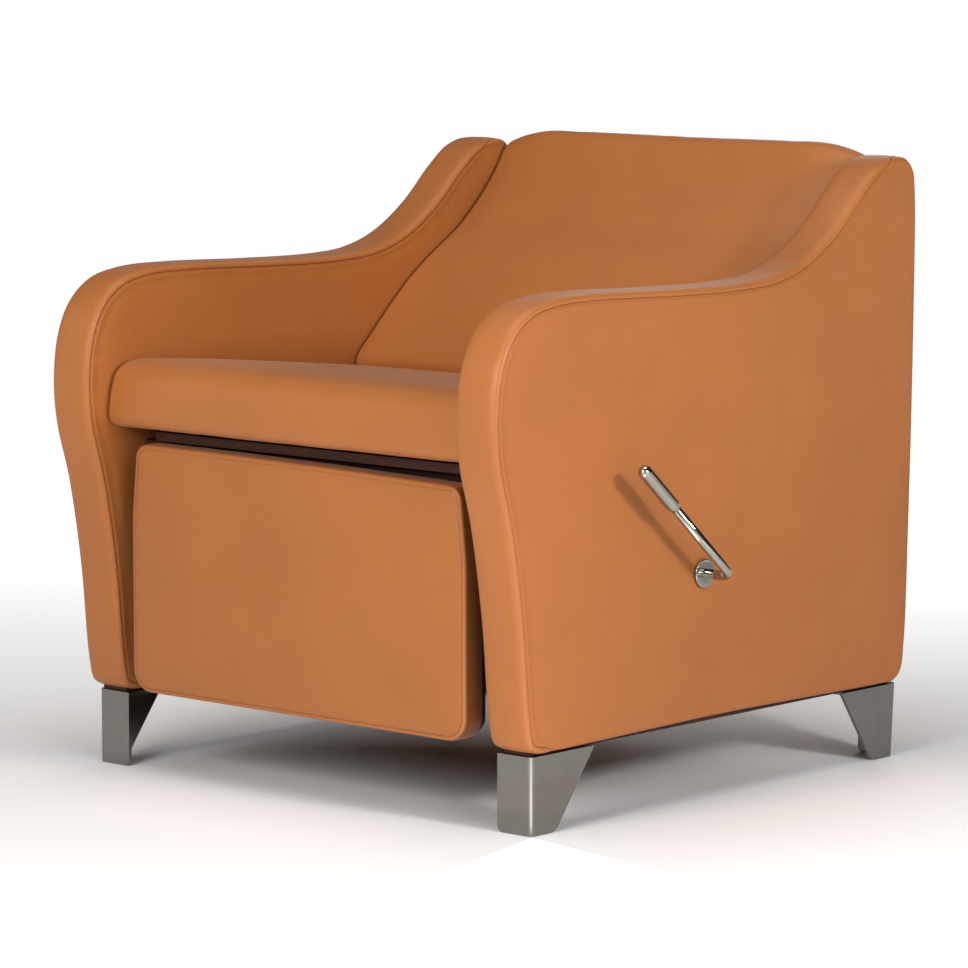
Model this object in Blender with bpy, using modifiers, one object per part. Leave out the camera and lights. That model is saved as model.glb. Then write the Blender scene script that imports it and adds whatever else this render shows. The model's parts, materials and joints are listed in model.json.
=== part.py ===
"""A patient recliner chair: upholstered arms on bent steel feet, a reclining back and a lever-worked legrest.

Lengths are metres. +Z is up, the sitter faces -Y, and the sitter's left side, where the lever is, lies
at +X. Every piece is drawn in the chair's own coordinates: X from the middle plane, Y from the front of
the front feet, Z from the floor. One empty then carries them all, so that the world origin is under the
middle of the chair's box.
"""

import math

import bmesh
import bpy
import numpy as np
from mathutils import Vector

# Driving dimensions
WIDTH = 0.760
ARM_THICKNESS = 0.066
FOOT_HEIGHT = 0.0965
CENTRE_X = 0.0269
CENTRE_Y = 0.3420

SKIN = 0.012
EDGE_RADIUS = 0.009
CLEARANCE = 0.0003
PLATE = 0.004
PIN_RADIUS = 0.004
PIN_HOLE = 0.0043

ARM_OUTSIDE = WIDTH / 2
ARM_INSIDE = ARM_OUTSIDE - ARM_THICKNESS
SIDES = {"left": 1, "right": -1}

# Side profile of an arm, from the bottom front corner up and over to the rear, as (Y, Z).
ARM_PROFILE = [
    (0.0400, 0.0985),
    (0.0100, 0.0990),
    (-0.0080, 0.1080),
    (-0.0165, 0.1400),
    (-0.0290, 0.2610),
    (-0.0480, 0.3720),
    (-0.0690, 0.4500),
    (-0.0735, 0.5050),
    (-0.0650, 0.5640),
    (-0.0440, 0.6050),
    (-0.0090, 0.6320),
    (0.0420, 0.6440),
    (0.1200, 0.6460),
    (0.2640, 0.6420),
    (0.3900, 0.6410),
    (0.4660, 0.6470),
    (0.5250, 0.6655),
    (0.5850, 0.7030),
    (0.6370, 0.7500),
    (0.6720, 0.7760),
    (0.7050, 0.7860),
    (0.7330, 0.7850),
    (0.7460, 0.7700),
    (0.7500, 0.7400),
    (0.7500, 0.5500),
    (0.7440, 0.3000),
    (0.7370, 0.1500),
    (0.7300, 0.1130),
    (0.7150, 0.0995),
    (0.6900, 0.0985),
    (0.3650, 0.1020),
]

# Front surface of the back cushion, from the seat up to the crest, as (Y, Z).
BACK_FRONT = [
    (0.4130, 0.4880),
    (0.4520, 0.5340),
    (0.5000, 0.5800),
    (0.5610, 0.6290),
    (0.6260, 0.6740),
    (0.6780, 0.7260),
    (0.7160, 0.7700),
    (0.7340, 0.7940),
    (0.7480, 0.7950),
    (0.7570, 0.7820),
]
BACK_SLAB_BOTTOM = (0.5300, 0.4830)
BACK_SLAB_TOP = (0.7440, 0.7200)
BACK_BOARD = 0.018
BACK_REAR = 0.7570
BACK_HALF_WIDTH = ARM_INSIDE - 0.004
FLAP_BOTTOM = 0.3450

# Seat, which slopes down towards the rear.
SEAT_SLOPE = 0.097
SEAT_FRONT = -0.0380
SEAT_REAR = 0.4550
SEAT_UNDERSIDE = 0.4440
SEAT_HALF_WIDTH = ARM_INSIDE - 0.0025
DECK = 0.012
DECK_FRONT = -0.002
DECK_REAR = 0.440
DECK_HALF_WIDTH = 0.300

# Legrest panel
LEGREST_FACE = -0.0240
LEGREST_THICKNESS = 0.0450
LEGREST_BOARD = 0.010
LEGREST_BOTTOM = 0.1060
LEGREST_TOP = 0.4190
LEGREST_HALF_WIDTH = 0.2870
LEGREST_HALF_WIDTH_TOP = 0.2770

# Pivots of the mechanism, as (Y, Z). They all turn about X.
LEVER_AXIS = (0.3140, 0.2860)
KNEE_AXIS = (0.1330, 0.1340)
PANEL_AXIS = (0.0350, 0.3550)
GUIDE_AXIS = (0.1585, 0.2278)
GUIDE_END = (0.0882, 0.1361)
BACK_AXIS = (0.4850, 0.3900)
OPEN_PIVOT_HOLE = 0.0056

# Layers of the mechanism: where each plate's outer face lies from the middle plane.
RAIL_OUT = 0.3135
RAIL_IN = 0.2857
SIDE_PLATE_OUT = 0.2853
GUIDE_OUT = 0.2795
FRONT_LINK_OUT = 0.2740
MAIN_LINK_OUT = 0.2685
PANEL_BRACKET_OUT = 0.2685
BACK_BRACKET_OUT = 0.2795
RIVET_HEAD = 0.0025
RIVET_HEAD_RADIUS = 0.0075

# Lever
TUBE_RADIUS = 0.009
TUBE_BORE = 0.0064
TUBE_END = 0.2900
ROD_RADIUS = 0.006
ROD_START = 0.2550
ROD_PLANE = 0.4250
ROD_BEND = 0.0150
ROD_LENGTH = 0.2290
ROD_RISE = math.radians(41.0)
GRIP_RADIUS = 0.0088
GRIP_LENGTH = 0.0820
GRIP_BORE_DEPTH = 0.0600
DISC_RADIUS = 0.0180
DISC_THICKNESS = 0.0040
BUSH_RADIUS = 0.0120

# Feet, bent from steel plate
FOOT_PLATE = 0.005
FOOT_BEND = 0.007
FOOT_OUTSIDE = 0.3730
FOOT_INSIDE = 0.3185
FOOT_DEPTH_TOP = 0.1170
FOOT_DEPTH_BOTTOM = 0.0450
FOOT_CORNER = 0.008
REAR_FOOT_FACE = 0.7250
REAR_FOOT_RAKE = 0.0065
FOOT_SCREWS = [(0.3460, 0.0300), (0.3540, 0.0850)]
SCREW_RADIUS = 0.003
SCREW_HOLE = 0.0034
SCREW_HEAD = 0.0035
SCREW_HEAD_RADIUS = 0.006
SCREW_GRIP = 0.030
RAIL_BOLTS = {"front": (0.1900, 0.3900), "rear": (0.3900, 0.3650)}
RAIL_BOLT_REACH = 0.3420


# Blender helpers


def clear_scene():
    for thing in list(bpy.data.objects):
        bpy.data.objects.remove(thing, do_unlink=True)


def new_collection(name):
    made = bpy.data.collections.new(name)
    bpy.context.scene.collection.children.link(made)
    return made


def new_empty(name, at, parent=None):
    made = bpy.data.objects.new(name, None)
    made.empty_display_size = 0.03
    made.location = at
    made.parent = parent
    PARTS.objects.link(made)
    return made


def new_material(name, colour, roughness, metallic=0.0):
    made = bpy.data.materials.new(name)
    made.use_nodes = True
    shader = made.node_tree.nodes["Principled BSDF"]
    shader.inputs["Base Color"].default_value = (*colour, 1.0)
    shader.inputs["Roughness"].default_value = roughness
    shader.inputs["Metallic"].default_value = metallic
    made.diffuse_color = (*colour, 1.0)
    return made


def mesh_object(name, shape, collection):
    """Makes an object of a bmesh, in the chair's coordinates."""
    bmesh.ops.recalc_face_normals(shape, faces=shape.faces)
    mesh = bpy.data.meshes.new(name)
    shape.to_mesh(mesh)
    shape.free()
    made = bpy.data.objects.new(name, mesh)
    made.parent = CHAIR
    collection.objects.link(made)
    return made


def piece(name, shape, material, axis=None):
    """Adds a named piece. One that moves gets its origin on its joint's axis."""
    if axis is not None:
        pivot = Vector(axis.location)
        bmesh.ops.translate(shape, verts=shape.verts, vec=-pivot)
    made = mesh_object(name, shape, PARTS)
    if axis is not None:
        made.parent = axis
    made.data.materials.append(material)
    return made


def cutter(name, shape):
    made = mesh_object(name, shape, CUTTERS)
    made.hide_render = True
    made.display_type = "WIRE"
    return made


def boolean(target, tool, operation):
    step = target.modifiers.new(tool.name, "BOOLEAN")
    step.operation = operation
    step.solver = "EXACT"
    step.object = tool


def bevel(target, width, segments=2, angle=40.0):
    step = target.modifiers.new("rounded_edges", "BEVEL")
    step.width = width
    step.segments = segments
    step.limit_method = "ANGLE"
    step.angle_limit = math.radians(angle)
    return step


def shade_round(target, angle=35.0):
    target.data.shade_smooth()
    target.data.set_sharp_from_angle(angle=math.radians(angle))


# Outlines


def smooth_loop(points, steps):
    """A closed centripetal Catmull-Rom curve through the points, as a list of (Y, Z)."""
    ring = [np.array(point) for point in points]
    out = []
    for i in range(len(ring)):
        p0, p1, p2, p3 = (ring[(i + k - 1) % len(ring)] for k in range(4))
        out += catmull_rom(p0, p1, p2, p3, steps)
    return out


def smooth_path(points, steps):
    """An open centripetal Catmull-Rom curve through the points."""
    ring = [np.array(point) for point in points]
    ring = [2 * ring[0] - ring[1]] + ring + [2 * ring[-1] - ring[-2]]
    out = []
    for i in range(len(ring) - 3):
        out += catmull_rom(*ring[i : i + 4], steps)
    return out + [ring[-2]]


def catmull_rom(p0, p1, p2, p3, steps):
    knots = [0.0]
    for a, b in ((p0, p1), (p1, p2), (p2, p3)):
        knots.append(knots[-1] + math.sqrt(np.linalg.norm(b - a)))
    t0, t1, t2, t3 = knots
    out = []
    for t in np.linspace(t1, t2, steps, endpoint=False):
        a1 = (t1 - t) / (t1 - t0) * p0 + (t - t0) / (t1 - t0) * p1
        a2 = (t2 - t) / (t2 - t1) * p1 + (t - t1) / (t2 - t1) * p2
        a3 = (t3 - t) / (t3 - t2) * p2 + (t - t2) / (t3 - t2) * p3
        b1 = (t2 - t) / (t2 - t0) * a1 + (t - t0) / (t2 - t0) * a2
        b2 = (t3 - t) / (t3 - t1) * a2 + (t - t1) / (t3 - t1) * a3
        out.append((t2 - t) / (t2 - t1) * b1 + (t - t1) / (t2 - t1) * b2)
    return out


def inset(loop, distance):
    """Moves every point of a closed loop inwards by the distance. The loop's inside is on its right."""
    out = []
    for i, point in enumerate(loop):
        along = loop[(i + 1) % len(loop)] - loop[i - 1]
        along = along / np.linalg.norm(along)
        out.append(point + distance * np.array([along[1], -along[0]]))
    return out


def open_bottom(loop, lowest, to):
    """Drops the bottom run of a loop down to a height."""
    return [np.array([y, to if z < lowest else z]) for y, z in loop]


def arm_profile(shrink=0.0):
    return inset(smooth_loop(ARM_PROFILE, 3), shrink)


def round_corners(corners, radius, steps=4):
    """A polygon of (point, point, ...) with every corner rounded by an arc."""
    ring = [np.array(corner, float) for corner in corners]
    out = []
    for i, corner in enumerate(ring):
        to_last = ring[i - 1] - corner
        to_next = ring[(i + 1) % len(ring)] - corner
        u = to_last / np.linalg.norm(to_last)
        v = to_next / np.linalg.norm(to_next)
        half = math.acos(max(-1.0, min(1.0, float(u @ v)))) / 2
        room = min(np.linalg.norm(to_last), np.linalg.norm(to_next)) * 0.49
        reach = min(radius / math.tan(half), room)
        r = reach * math.tan(half)
        middle = corner + (u + v) / np.linalg.norm(u + v) * r / math.sin(half)
        start = corner + u * reach - middle
        end = corner + v * reach - middle
        for t in np.linspace(0.0, 1.0, steps + 1):
            way = start * (1 - t) + end * t
            out.append(middle + way / np.linalg.norm(way) * r)
    return out


def link_outline(stations, steps=6):
    """The convex plate round a chain of discs, each (Y, Z, radius)."""
    points = []
    for y, z, radius in stations:
        for angle in np.linspace(0, 2 * math.pi, 4 * steps, endpoint=False):
            points.append((y + radius * math.cos(angle), z + radius * math.sin(angle)))
    return convex_hull(points)


def convex_hull(points):
    points = sorted(points)
    halves = []
    for run in (points, points[::-1]):
        half = []
        for point in run:
            while len(half) > 1 and turn(half[-2], half[-1], point) <= 1e-12:
                half.pop()
            half.append(point)
        halves.append(half[:-1])
    return [np.array(point) for point in halves[0] + halves[1]]


def turn(a, b, c):
    return (b[0] - a[0]) * (c[1] - a[1]) - (b[1] - a[1]) * (c[0] - a[0])


# Shapes, as bmeshes in the chair's coordinates


def prism(loop, start, end, axis="X"):
    """A flat outline carried along an axis. The outline is in the other two axes, in order."""
    shape = bmesh.new()
    rings = []
    for place in (start, end):
        rings.append([shape.verts.new(at_axis(axis, place, a, b)) for a, b in loop])
    shape.faces.new(rings[0])
    shape.faces.new(rings[1][::-1])
    for i in range(len(loop)):
        j = (i + 1) % len(loop)
        shape.faces.new((rings[0][i], rings[0][j], rings[1][j], rings[1][i]))
    return shape


def at_axis(axis, place, a, b):
    if axis == "X":
        return (place, a, b)
    if axis == "Y":
        return (a, place, b)
    return (a, b, place)


def block(low, high):
    shape = bmesh.new()
    bmesh.ops.create_cube(shape, size=1.0)
    low, high = Vector(low), Vector(high)
    bmesh.ops.scale(shape, verts=shape.verts, vec=high - low)
    bmesh.ops.translate(shape, verts=shape.verts, vec=(low + high) / 2)
    return shape


def rod(start, end, radius, sides=24):
    start, end = Vector(start), Vector(end)
    shape = bmesh.new()
    length = (end - start).length
    bmesh.ops.create_cone(
        shape, cap_ends=True, segments=sides, radius1=radius, radius2=radius, depth=length
    )
    turned = (end - start).to_track_quat("Z", "Y").to_matrix()
    bmesh.ops.rotate(shape, verts=shape.verts, matrix=turned)
    bmesh.ops.translate(shape, verts=shape.verts, vec=(start + end) / 2)
    return shape


def merge(*shapes):
    """Puts shapes that don't touch each other into one bmesh, for a cutter."""
    whole = bmesh.new()
    for shape in shapes:
        mesh = bpy.data.meshes.new("part_of_a_cutter")
        shape.to_mesh(mesh)
        shape.free()
        whole.from_mesh(mesh)
        bpy.data.meshes.remove(mesh)
    return whole


def along_x(axis, start, end, radius, sides=24):
    y, z = axis
    return rod((start, y, z), (end, y, z), radius, sides)


def headed_pin(axis, head_from, head_to, tip, radius, head_radius, sides=16):
    """A pin along X with a round head, made as one stepped solid."""
    y, z = axis
    steps = [(head_from, head_radius), (head_to, head_radius), (head_to, radius), (tip, radius)]
    return turned_solid(steps, (0.0, y, z), (1, 0, 0), sides)


def turned_solid(steps, origin, direction, sides=24):
    """A solid turned about a line. Each step is (distance along the line, radius)."""
    shape = bmesh.new()
    origin, direction = Vector(origin), Vector(direction).normalized()
    turned = direction.to_track_quat("Z", "Y").to_matrix()
    rings = []
    for distance, radius in steps:
        ring = []
        for k in range(sides):
            angle = 2 * math.pi * k / sides
            spoke = Vector((radius * math.cos(angle), radius * math.sin(angle), distance))
            ring.append(shape.verts.new(origin + turned @ spoke))
        rings.append(ring)
    shape.faces.new(rings[0])
    shape.faces.new(rings[-1])
    for low, high in zip(rings, rings[1:]):
        for k in range(sides):
            j = (k + 1) % sides
            shape.faces.new((low[k], low[j], high[j], high[k]))
    return shape


# Base


def make_arm(side, sign):
    inner, outer = sign * ARM_INSIDE, sign * ARM_OUTSIDE
    cover = piece(f"arm_cover_{side}", prism(arm_profile(), inner, outer), VINYL)
    bevel(cover, EDGE_RADIUS, 3)
    hollow = open_bottom(arm_profile(SKIN), FOOT_HEIGHT + SKIN + 0.006, FOOT_HEIGHT - 0.020)
    core = prism(hollow, sign * (ARM_INSIDE + SKIN), sign * (ARM_OUTSIDE - SKIN))
    space = cutter(f"arm_hollow_{side}", core)
    boolean(cover, space, "DIFFERENCE")

    shrink = SKIN + CLEARANCE
    core = open_bottom(arm_profile(shrink), FOOT_HEIGHT + SKIN + 0.006, FOOT_HEIGHT + CLEARANCE)
    frame = piece(
        f"arm_frame_{side}",
        prism(core, sign * (ARM_INSIDE + shrink), sign * (ARM_OUTSIDE - shrink)),
        PLYWOOD,
    )
    return cover, frame


def foot_outline(height):
    """The bent plate's section at a height, as (X, Y) from the bend's outer corner, inwards and backwards."""
    width = FOOT_OUTSIDE - FOOT_INSIDE
    depth = FOOT_DEPTH_BOTTOM + (FOOT_DEPTH_TOP - FOOT_DEPTH_BOTTOM) * height / FOOT_HEIGHT
    if height < FOOT_CORNER:
        cut = FOOT_CORNER - math.sqrt(FOOT_CORNER**2 - (FOOT_CORNER - height) ** 2)
        width -= cut
        depth -= cut
    quarter = [math.radians(90 * k / 5) for k in range(6)]
    outside = [(FOOT_BEND * (1 - math.sin(a)), FOOT_BEND * (1 - math.cos(a))) for a in quarter]
    r = FOOT_BEND - FOOT_PLATE
    inside = [(FOOT_BEND - r * math.sin(a), FOOT_BEND - r * math.cos(a)) for a in reversed(quarter)]
    ends = [(0.0, depth), (FOOT_PLATE, depth)]
    return [(width, 0.0)] + outside + ends + inside + [(width, FOOT_PLATE)]


def foot_point(x, y, height, sign, at_rear):
    """Turns a point of the foot's section into the chair's coordinates."""
    world_x = sign * (FOOT_OUTSIDE - x)
    if not at_rear:
        return (world_x, y, height)
    lean = REAR_FOOT_RAKE * (1 - height / FOOT_HEIGHT)
    return (world_x, REAR_FOOT_FACE - lean - y, height)


def make_foot(end, side, sign):
    at_rear = end == "rear"
    shape = bmesh.new()
    heights = [FOOT_CORNER * t for t in (0.0, 0.08, 0.3, 0.6, 1.0)] + [FOOT_HEIGHT]
    rings = []
    for height in heights:
        section = foot_outline(height)
        rings.append([shape.verts.new(foot_point(x, y, height, sign, at_rear)) for x, y in section])
    shape.faces.new(rings[0])
    shape.faces.new(rings[-1])
    for low, high in zip(rings, rings[1:]):
        for k in range(len(low)):
            j = (k + 1) % len(low)
            shape.faces.new((low[k], low[j], high[j], high[k]))
    foot = piece(f"foot_{end}_{side}", shape, STEEL)

    width = FOOT_OUTSIDE - FOOT_INSIDE
    reach = FOOT_DEPTH_TOP - 0.012
    corners = [(width - 0.001, 0.002), (width - 0.001, 0.050), (0.022, reach), (0.002, reach)]
    corners = [(0.002, 0.002)] + corners
    tab = [foot_point(x, y, FOOT_HEIGHT, sign, at_rear)[:2] for x, y in corners]
    flat = prism(tab, FOOT_HEIGHT - FOOT_PLATE, FOOT_HEIGHT - 0.0001, "Z")
    flange = cutter(f"foot_tab_{end}_{side}", flat)
    boolean(foot, flange, "UNION")
    return foot


def foot_screw_places(sign, at_rear):
    for x, y in FOOT_SCREWS:
        yield foot_point(FOOT_OUTSIDE - x, y, FOOT_HEIGHT, sign, at_rear)[:2]


def make_foot_screws(end, side, sign, foot, frame):
    under = FOOT_HEIGHT - FOOT_PLATE - CLEARANCE
    steps = [
        (under - SCREW_HEAD, SCREW_HEAD_RADIUS * 0.8),
        (under - SCREW_HEAD * 0.6, SCREW_HEAD_RADIUS),
        (under, SCREW_HEAD_RADIUS),
        (under, SCREW_RADIUS),
        (FOOT_HEIGHT + SCREW_GRIP, SCREW_RADIUS),
    ]
    drills = []
    for number, (x, y) in enumerate(foot_screw_places(sign, end == "rear"), 1):
        piece(f"foot_screw_{end}_{side}_{number}", turned_solid(steps, (x, y, 0), (0, 0, 1), 12), ZINC)
        top = FOOT_HEIGHT + SCREW_GRIP + 0.001
        drills.append(rod((x, y, under - 0.001), (x, y, top), SCREW_HOLE, 12))
    drill = cutter(f"foot_drill_{end}_{side}", merge(*drills))
    boolean(foot, drill, "DIFFERENCE")
    boolean(frame, drill, "DIFFERENCE")


def seat_height(y):
    """Height of the seat cushion's sloping underside."""
    return SEAT_UNDERSIDE - SEAT_SLOPE * (y - SEAT_FRONT)


def deck_height(y):
    """Height of the deck's underside, which is the seat rails' top."""
    return seat_height(y) - DECK - CLEARANCE


def make_seat_rail(side, sign):
    front, rear = 0.0280, 0.6050
    rise = CLEARANCE
    corners = [
        (front, deck_height(front) - rise),
        (SEAT_REAR, deck_height(SEAT_REAR) - rise),
        (rear, deck_height(SEAT_REAR) - rise - 0.020),
        (rear, 0.3000),
        (0.2600, 0.3300),
        (front, 0.3700),
    ]
    beam = prism(round_corners(corners, 0.006, 2), sign * RAIL_IN, sign * RAIL_OUT)
    rail = piece(f"seat_rail_{side}", beam, BEECH)
    passage = along_x(LEVER_AXIS, sign * 0.28, sign * 0.32, TUBE_RADIUS + 0.0015)
    hole = cutter(f"rail_hole_{side}", passage)
    boolean(rail, hole, "DIFFERENCE")
    return rail


def make_rail_bolts(side, sign, solids):
    """Bolts that hold the side plate and the seat rail to the arm's frame."""
    face = SIDE_PLATE_OUT - PLATE - CLEARANCE
    drills = []
    for end, place in RAIL_BOLTS.items():
        stations = [sign * (face - 0.0022), sign * face, sign * RAIL_BOLT_REACH]
        shape = headed_pin(place, *stations, SCREW_RADIUS, SCREW_HEAD_RADIUS)
        piece(f"rail_bolt_{end}_{side}", shape, ZINC)
        reach = sign * (RAIL_BOLT_REACH + 0.001)
        drills.append(along_x(place, sign * (face - 0.001), reach, SCREW_HOLE, 16))
    drill = cutter(f"rail_drill_{side}", merge(*drills))
    for solid in solids:
        boolean(solid, drill, "DIFFERENCE")


def make_cross_rails():
    half = RAIL_IN - CLEARANCE
    top = deck_height(0.0465) - CLEARANCE
    front = piece("front_cross_rail", block((-half, 0.0285, top - 0.0380), (half, 0.0465, top)), BEECH)
    bevel(front, 0.002, 1)
    rear = piece("rear_cross_rail", block((-half, 0.5800, 0.3040), (half, 0.6020, 0.3440)), BEECH)
    bevel(rear, 0.002, 1)
    half = ARM_INSIDE - CLEARANCE
    lower = piece("lower_cross_rail", block((-half, 0.6200, 0.1040), (half, 0.6540, 0.1560)), BEECH)
    bevel(lower, 0.002, 1)
    slab = block((-half + 0.001, 0.6545, 0.1020), (half - 0.001, 0.6720, 0.3550))
    panel = piece("lower_back_panel", slab, VINYL)
    bevel(panel, 0.006, 3)


def make_seat():
    half = SEAT_HALF_WIDTH
    heights = [(0.012, 0.0), (0.0, 0.014), (0.0, 0.046), (0.012, 0.072), (0.040, 0.086), (0.080, 0.086)]
    profile = [(SEAT_FRONT + y, seat_height(SEAT_FRONT + y) + z) for y, z in heights]
    for y, z in [(0.012, 0.086), (0.0, 0.076), (0.0, 0.010), (0.012, 0.0)]:
        profile.append((SEAT_REAR - y, seat_height(SEAT_REAR - y) + z))
    cushion = piece("seat_cushion", prism([np.array(p) for p in profile], -half, half), VINYL)
    bevel(cushion, 0.010, 3)

    front = DECK_FRONT
    corners = [
        (front, deck_height(front)),
        (front, deck_height(front) + DECK),
        (DECK_REAR, deck_height(DECK_REAR) + DECK),
        (DECK_REAR, deck_height(DECK_REAR)),
    ]
    piece("seat_deck", prism(corners, -DECK_HALF_WIDTH, DECK_HALF_WIDTH), BROWN_BOARD)


def side_plate_outline():
    y_back, z_back = BACK_AXIS
    corners = [
        (0.0700, 0.4150),
        (0.1300, 0.2300),
        (0.1480, 0.2120),
        (0.1750, 0.2120),
        (0.3000, 0.2580),
        (0.3350, 0.2620),
        (0.4700, 0.3500),
        (y_back + 0.0170, z_back - 0.0100),
        (y_back + 0.0170, z_back + 0.0160),
        (y_back - 0.0170, z_back + 0.0160),
        (0.4480, 0.3740),
    ]
    return round_corners(corners, 0.009, 3)


def make_side_plate(side, sign):
    outer, inner = sign * SIDE_PLATE_OUT, sign * (SIDE_PLATE_OUT - PLATE)
    plate = piece(f"mechanism_plate_{side}", prism(side_plate_outline(), inner, outer), BLACK_STEEL)
    reach = (sign * 0.2700, sign * 0.2950)
    holes = merge(
        along_x(LEVER_AXIS, *reach, TUBE_RADIUS + 0.0004),
        along_x(GUIDE_AXIS, *reach, PIN_HOLE, 16),
        along_x(BACK_AXIS, *reach, PIN_HOLE, 16),
    )
    boolean(plate, cutter(f"plate_holes_{side}", holes), "DIFFERENCE")
    return plate


# Mechanism


def flat_link(name, stations, outer, sign, axis, holes):
    """A plate link with holes, each ((Y, Z), radius), on the layer whose outer face is given."""
    shape = prism(link_outline(stations), sign * (outer - PLATE), sign * outer)
    link = piece(name, shape, BLACK_STEEL, axis)
    reach = (sign * (outer - 2 * PLATE), sign * (outer + PLATE))
    drills = [along_x(place, *reach, radius, 16 if radius < 0.008 else 24) for place, radius in holes]
    boolean(link, cutter(f"{name}_holes", merge(*drills)), "DIFFERENCE")
    return link


def pivot_pin(name, place, head_face, towards_middle, tip, sign, axis=None):
    """A rivet: its head stands off a plate's face, and its shank ends flush with the last plate."""
    step = RIVET_HEAD if towards_middle else -RIVET_HEAD
    start = head_face - step
    shape = headed_pin(place, sign * start, sign * head_face, sign * tip, PIN_RADIUS, RIVET_HEAD_RADIUS)
    return piece(name, shape, ZINC, axis)


def make_linkage(side, sign):
    lever_y, lever_z = LEVER_AXIS
    knee_y, knee_z = KNEE_AXIS
    panel_y, panel_z = PANEL_AXIS
    end_y, end_z = GUIDE_END
    guide_y, guide_z = GUIDE_AXIS

    flat_link(
        f"main_link_{side}",
        [(lever_y, lever_z, 0.0170), (knee_y, knee_z, 0.0110)],
        MAIN_LINK_OUT,
        sign,
        LEVER,
        [(LEVER_AXIS, TUBE_RADIUS + CLEARANCE), (KNEE_AXIS, PIN_HOLE)],
    )
    pivot_pin(
        f"knee_pin_{side}",
        KNEE_AXIS,
        MAIN_LINK_OUT - PLATE - CLEARANCE,
        True,
        FRONT_LINK_OUT,
        sign,
        LEVER,
    )
    flat_link(
        f"front_link_{side}",
        [(knee_y, knee_z, 0.0120), (end_y, end_z, 0.0120), (panel_y, panel_z, 0.0100)],
        FRONT_LINK_OUT,
        sign,
        KNEE,
        [(KNEE_AXIS, PIN_HOLE), (PANEL_AXIS, PIN_HOLE), (GUIDE_END, PIN_HOLE)],
    )
    pivot_pin(
        f"guide_end_pin_{side}",
        GUIDE_END,
        FRONT_LINK_OUT - PLATE - CLEARANCE,
        True,
        GUIDE_OUT,
        sign,
        KNEE,
    )
    pivot_pin(
        f"panel_pin_{side}",
        PANEL_AXIS,
        FRONT_LINK_OUT + CLEARANCE,
        False,
        PANEL_BRACKET_OUT - PLATE,
        sign,
        KNEE,
    )
    flat_link(
        f"guide_link_{side}",
        [(guide_y, guide_z, 0.0100), (end_y, end_z, 0.0110)],
        GUIDE_OUT,
        sign,
        GUIDE,
        [(GUIDE_AXIS, PIN_HOLE), (GUIDE_END, OPEN_PIVOT_HOLE)],
    )
    pivot_pin(
        f"guide_pin_{side}",
        GUIDE_AXIS,
        SIDE_PLATE_OUT + CLEARANCE,
        False,
        GUIDE_OUT - PLATE,
        sign,
    )


# Legrest


def make_legrest():
    rear = LEGREST_FACE + LEGREST_THICKNESS
    join = rear - LEGREST_BOARD
    low, high = LEGREST_BOTTOM, LEGREST_TOP
    wide, narrow = LEGREST_HALF_WIDTH, LEGREST_HALF_WIDTH_TOP
    right = [(-wide, low), (-wide, high * 0.8), (-narrow, high)]
    corners = right + [(-x, z) for x, z in reversed(right)]
    radii_outline = round_corners(corners, 0.024, 5)
    pad = piece("legrest_pad", prism(radii_outline, LEGREST_FACE, join - CLEARANCE, "Y"), VINYL, PANEL)
    bevel(pad, 0.006, 2, 60.0)

    edge = 0.006
    board_corners = [
        (-wide + edge, low + edge),
        (-wide + edge, high * 0.8),
        (-narrow + edge, high - edge),
        (narrow - edge, high - edge),
        (wide - edge, high * 0.8),
        (wide - edge, low + edge),
    ]
    board = prism(round_corners(board_corners, 0.020, 4), join, rear, "Y")
    piece("legrest_board", board, PLYWOOD, PANEL)

    y, z = PANEL_AXIS
    for side, sign in SIDES.items():
        outer, inner = PANEL_BRACKET_OUT, PANEL_BRACKET_OUT - PLATE
        foot = rear + CLEARANCE + 0.004
        web = link_outline([(y, z, 0.0100), (foot, z + 0.010, 0.0040), (foot, z - 0.040, 0.0040)])
        ear = prism(web, sign * inner, sign * outer)
        bracket = piece(f"legrest_bracket_{side}", ear, BLACK_STEEL, PANEL)
        foot_low = (min(sign * outer, sign * (outer - 0.034)), rear + CLEARANCE, z - 0.044)
        foot_high = (max(sign * outer, sign * (outer - 0.034)), rear + CLEARANCE + 0.003, z + 0.014)
        tab = cutter(f"legrest_bracket_tab_{side}", block(foot_low, foot_high))
        boolean(bracket, tab, "UNION")
        drill = along_x(PANEL_AXIS, sign * (inner - 0.004), sign * (outer + 0.004), PIN_HOLE, 16)
        boolean(bracket, cutter(f"legrest_bracket_hole_{side}", drill), "DIFFERENCE")


# Lever


def rod_direction():
    return np.array([0.0, -math.cos(ROD_RISE), math.sin(ROD_RISE)])


def rod_corner():
    return np.array([ROD_PLANE, *LEVER_AXIS])


def rod_path():
    """Centre line of the bent lever rod, with an arc at its elbow."""
    corner = rod_corner()
    back = np.array([-1.0, 0.0, 0.0])
    ahead = rod_direction()
    middle = corner + ROD_BEND * (back + ahead)
    path = [np.array([ROD_START, *LEVER_AXIS])]
    for t in np.linspace(0.0, math.pi / 2, 8):
        path.append(middle - ROD_BEND * (math.cos(t) * ahead + math.sin(t) * back))
    path.append(corner + ahead * (ROD_LENGTH - GRIP_LENGTH + GRIP_BORE_DEPTH - 0.001))
    return path


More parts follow.
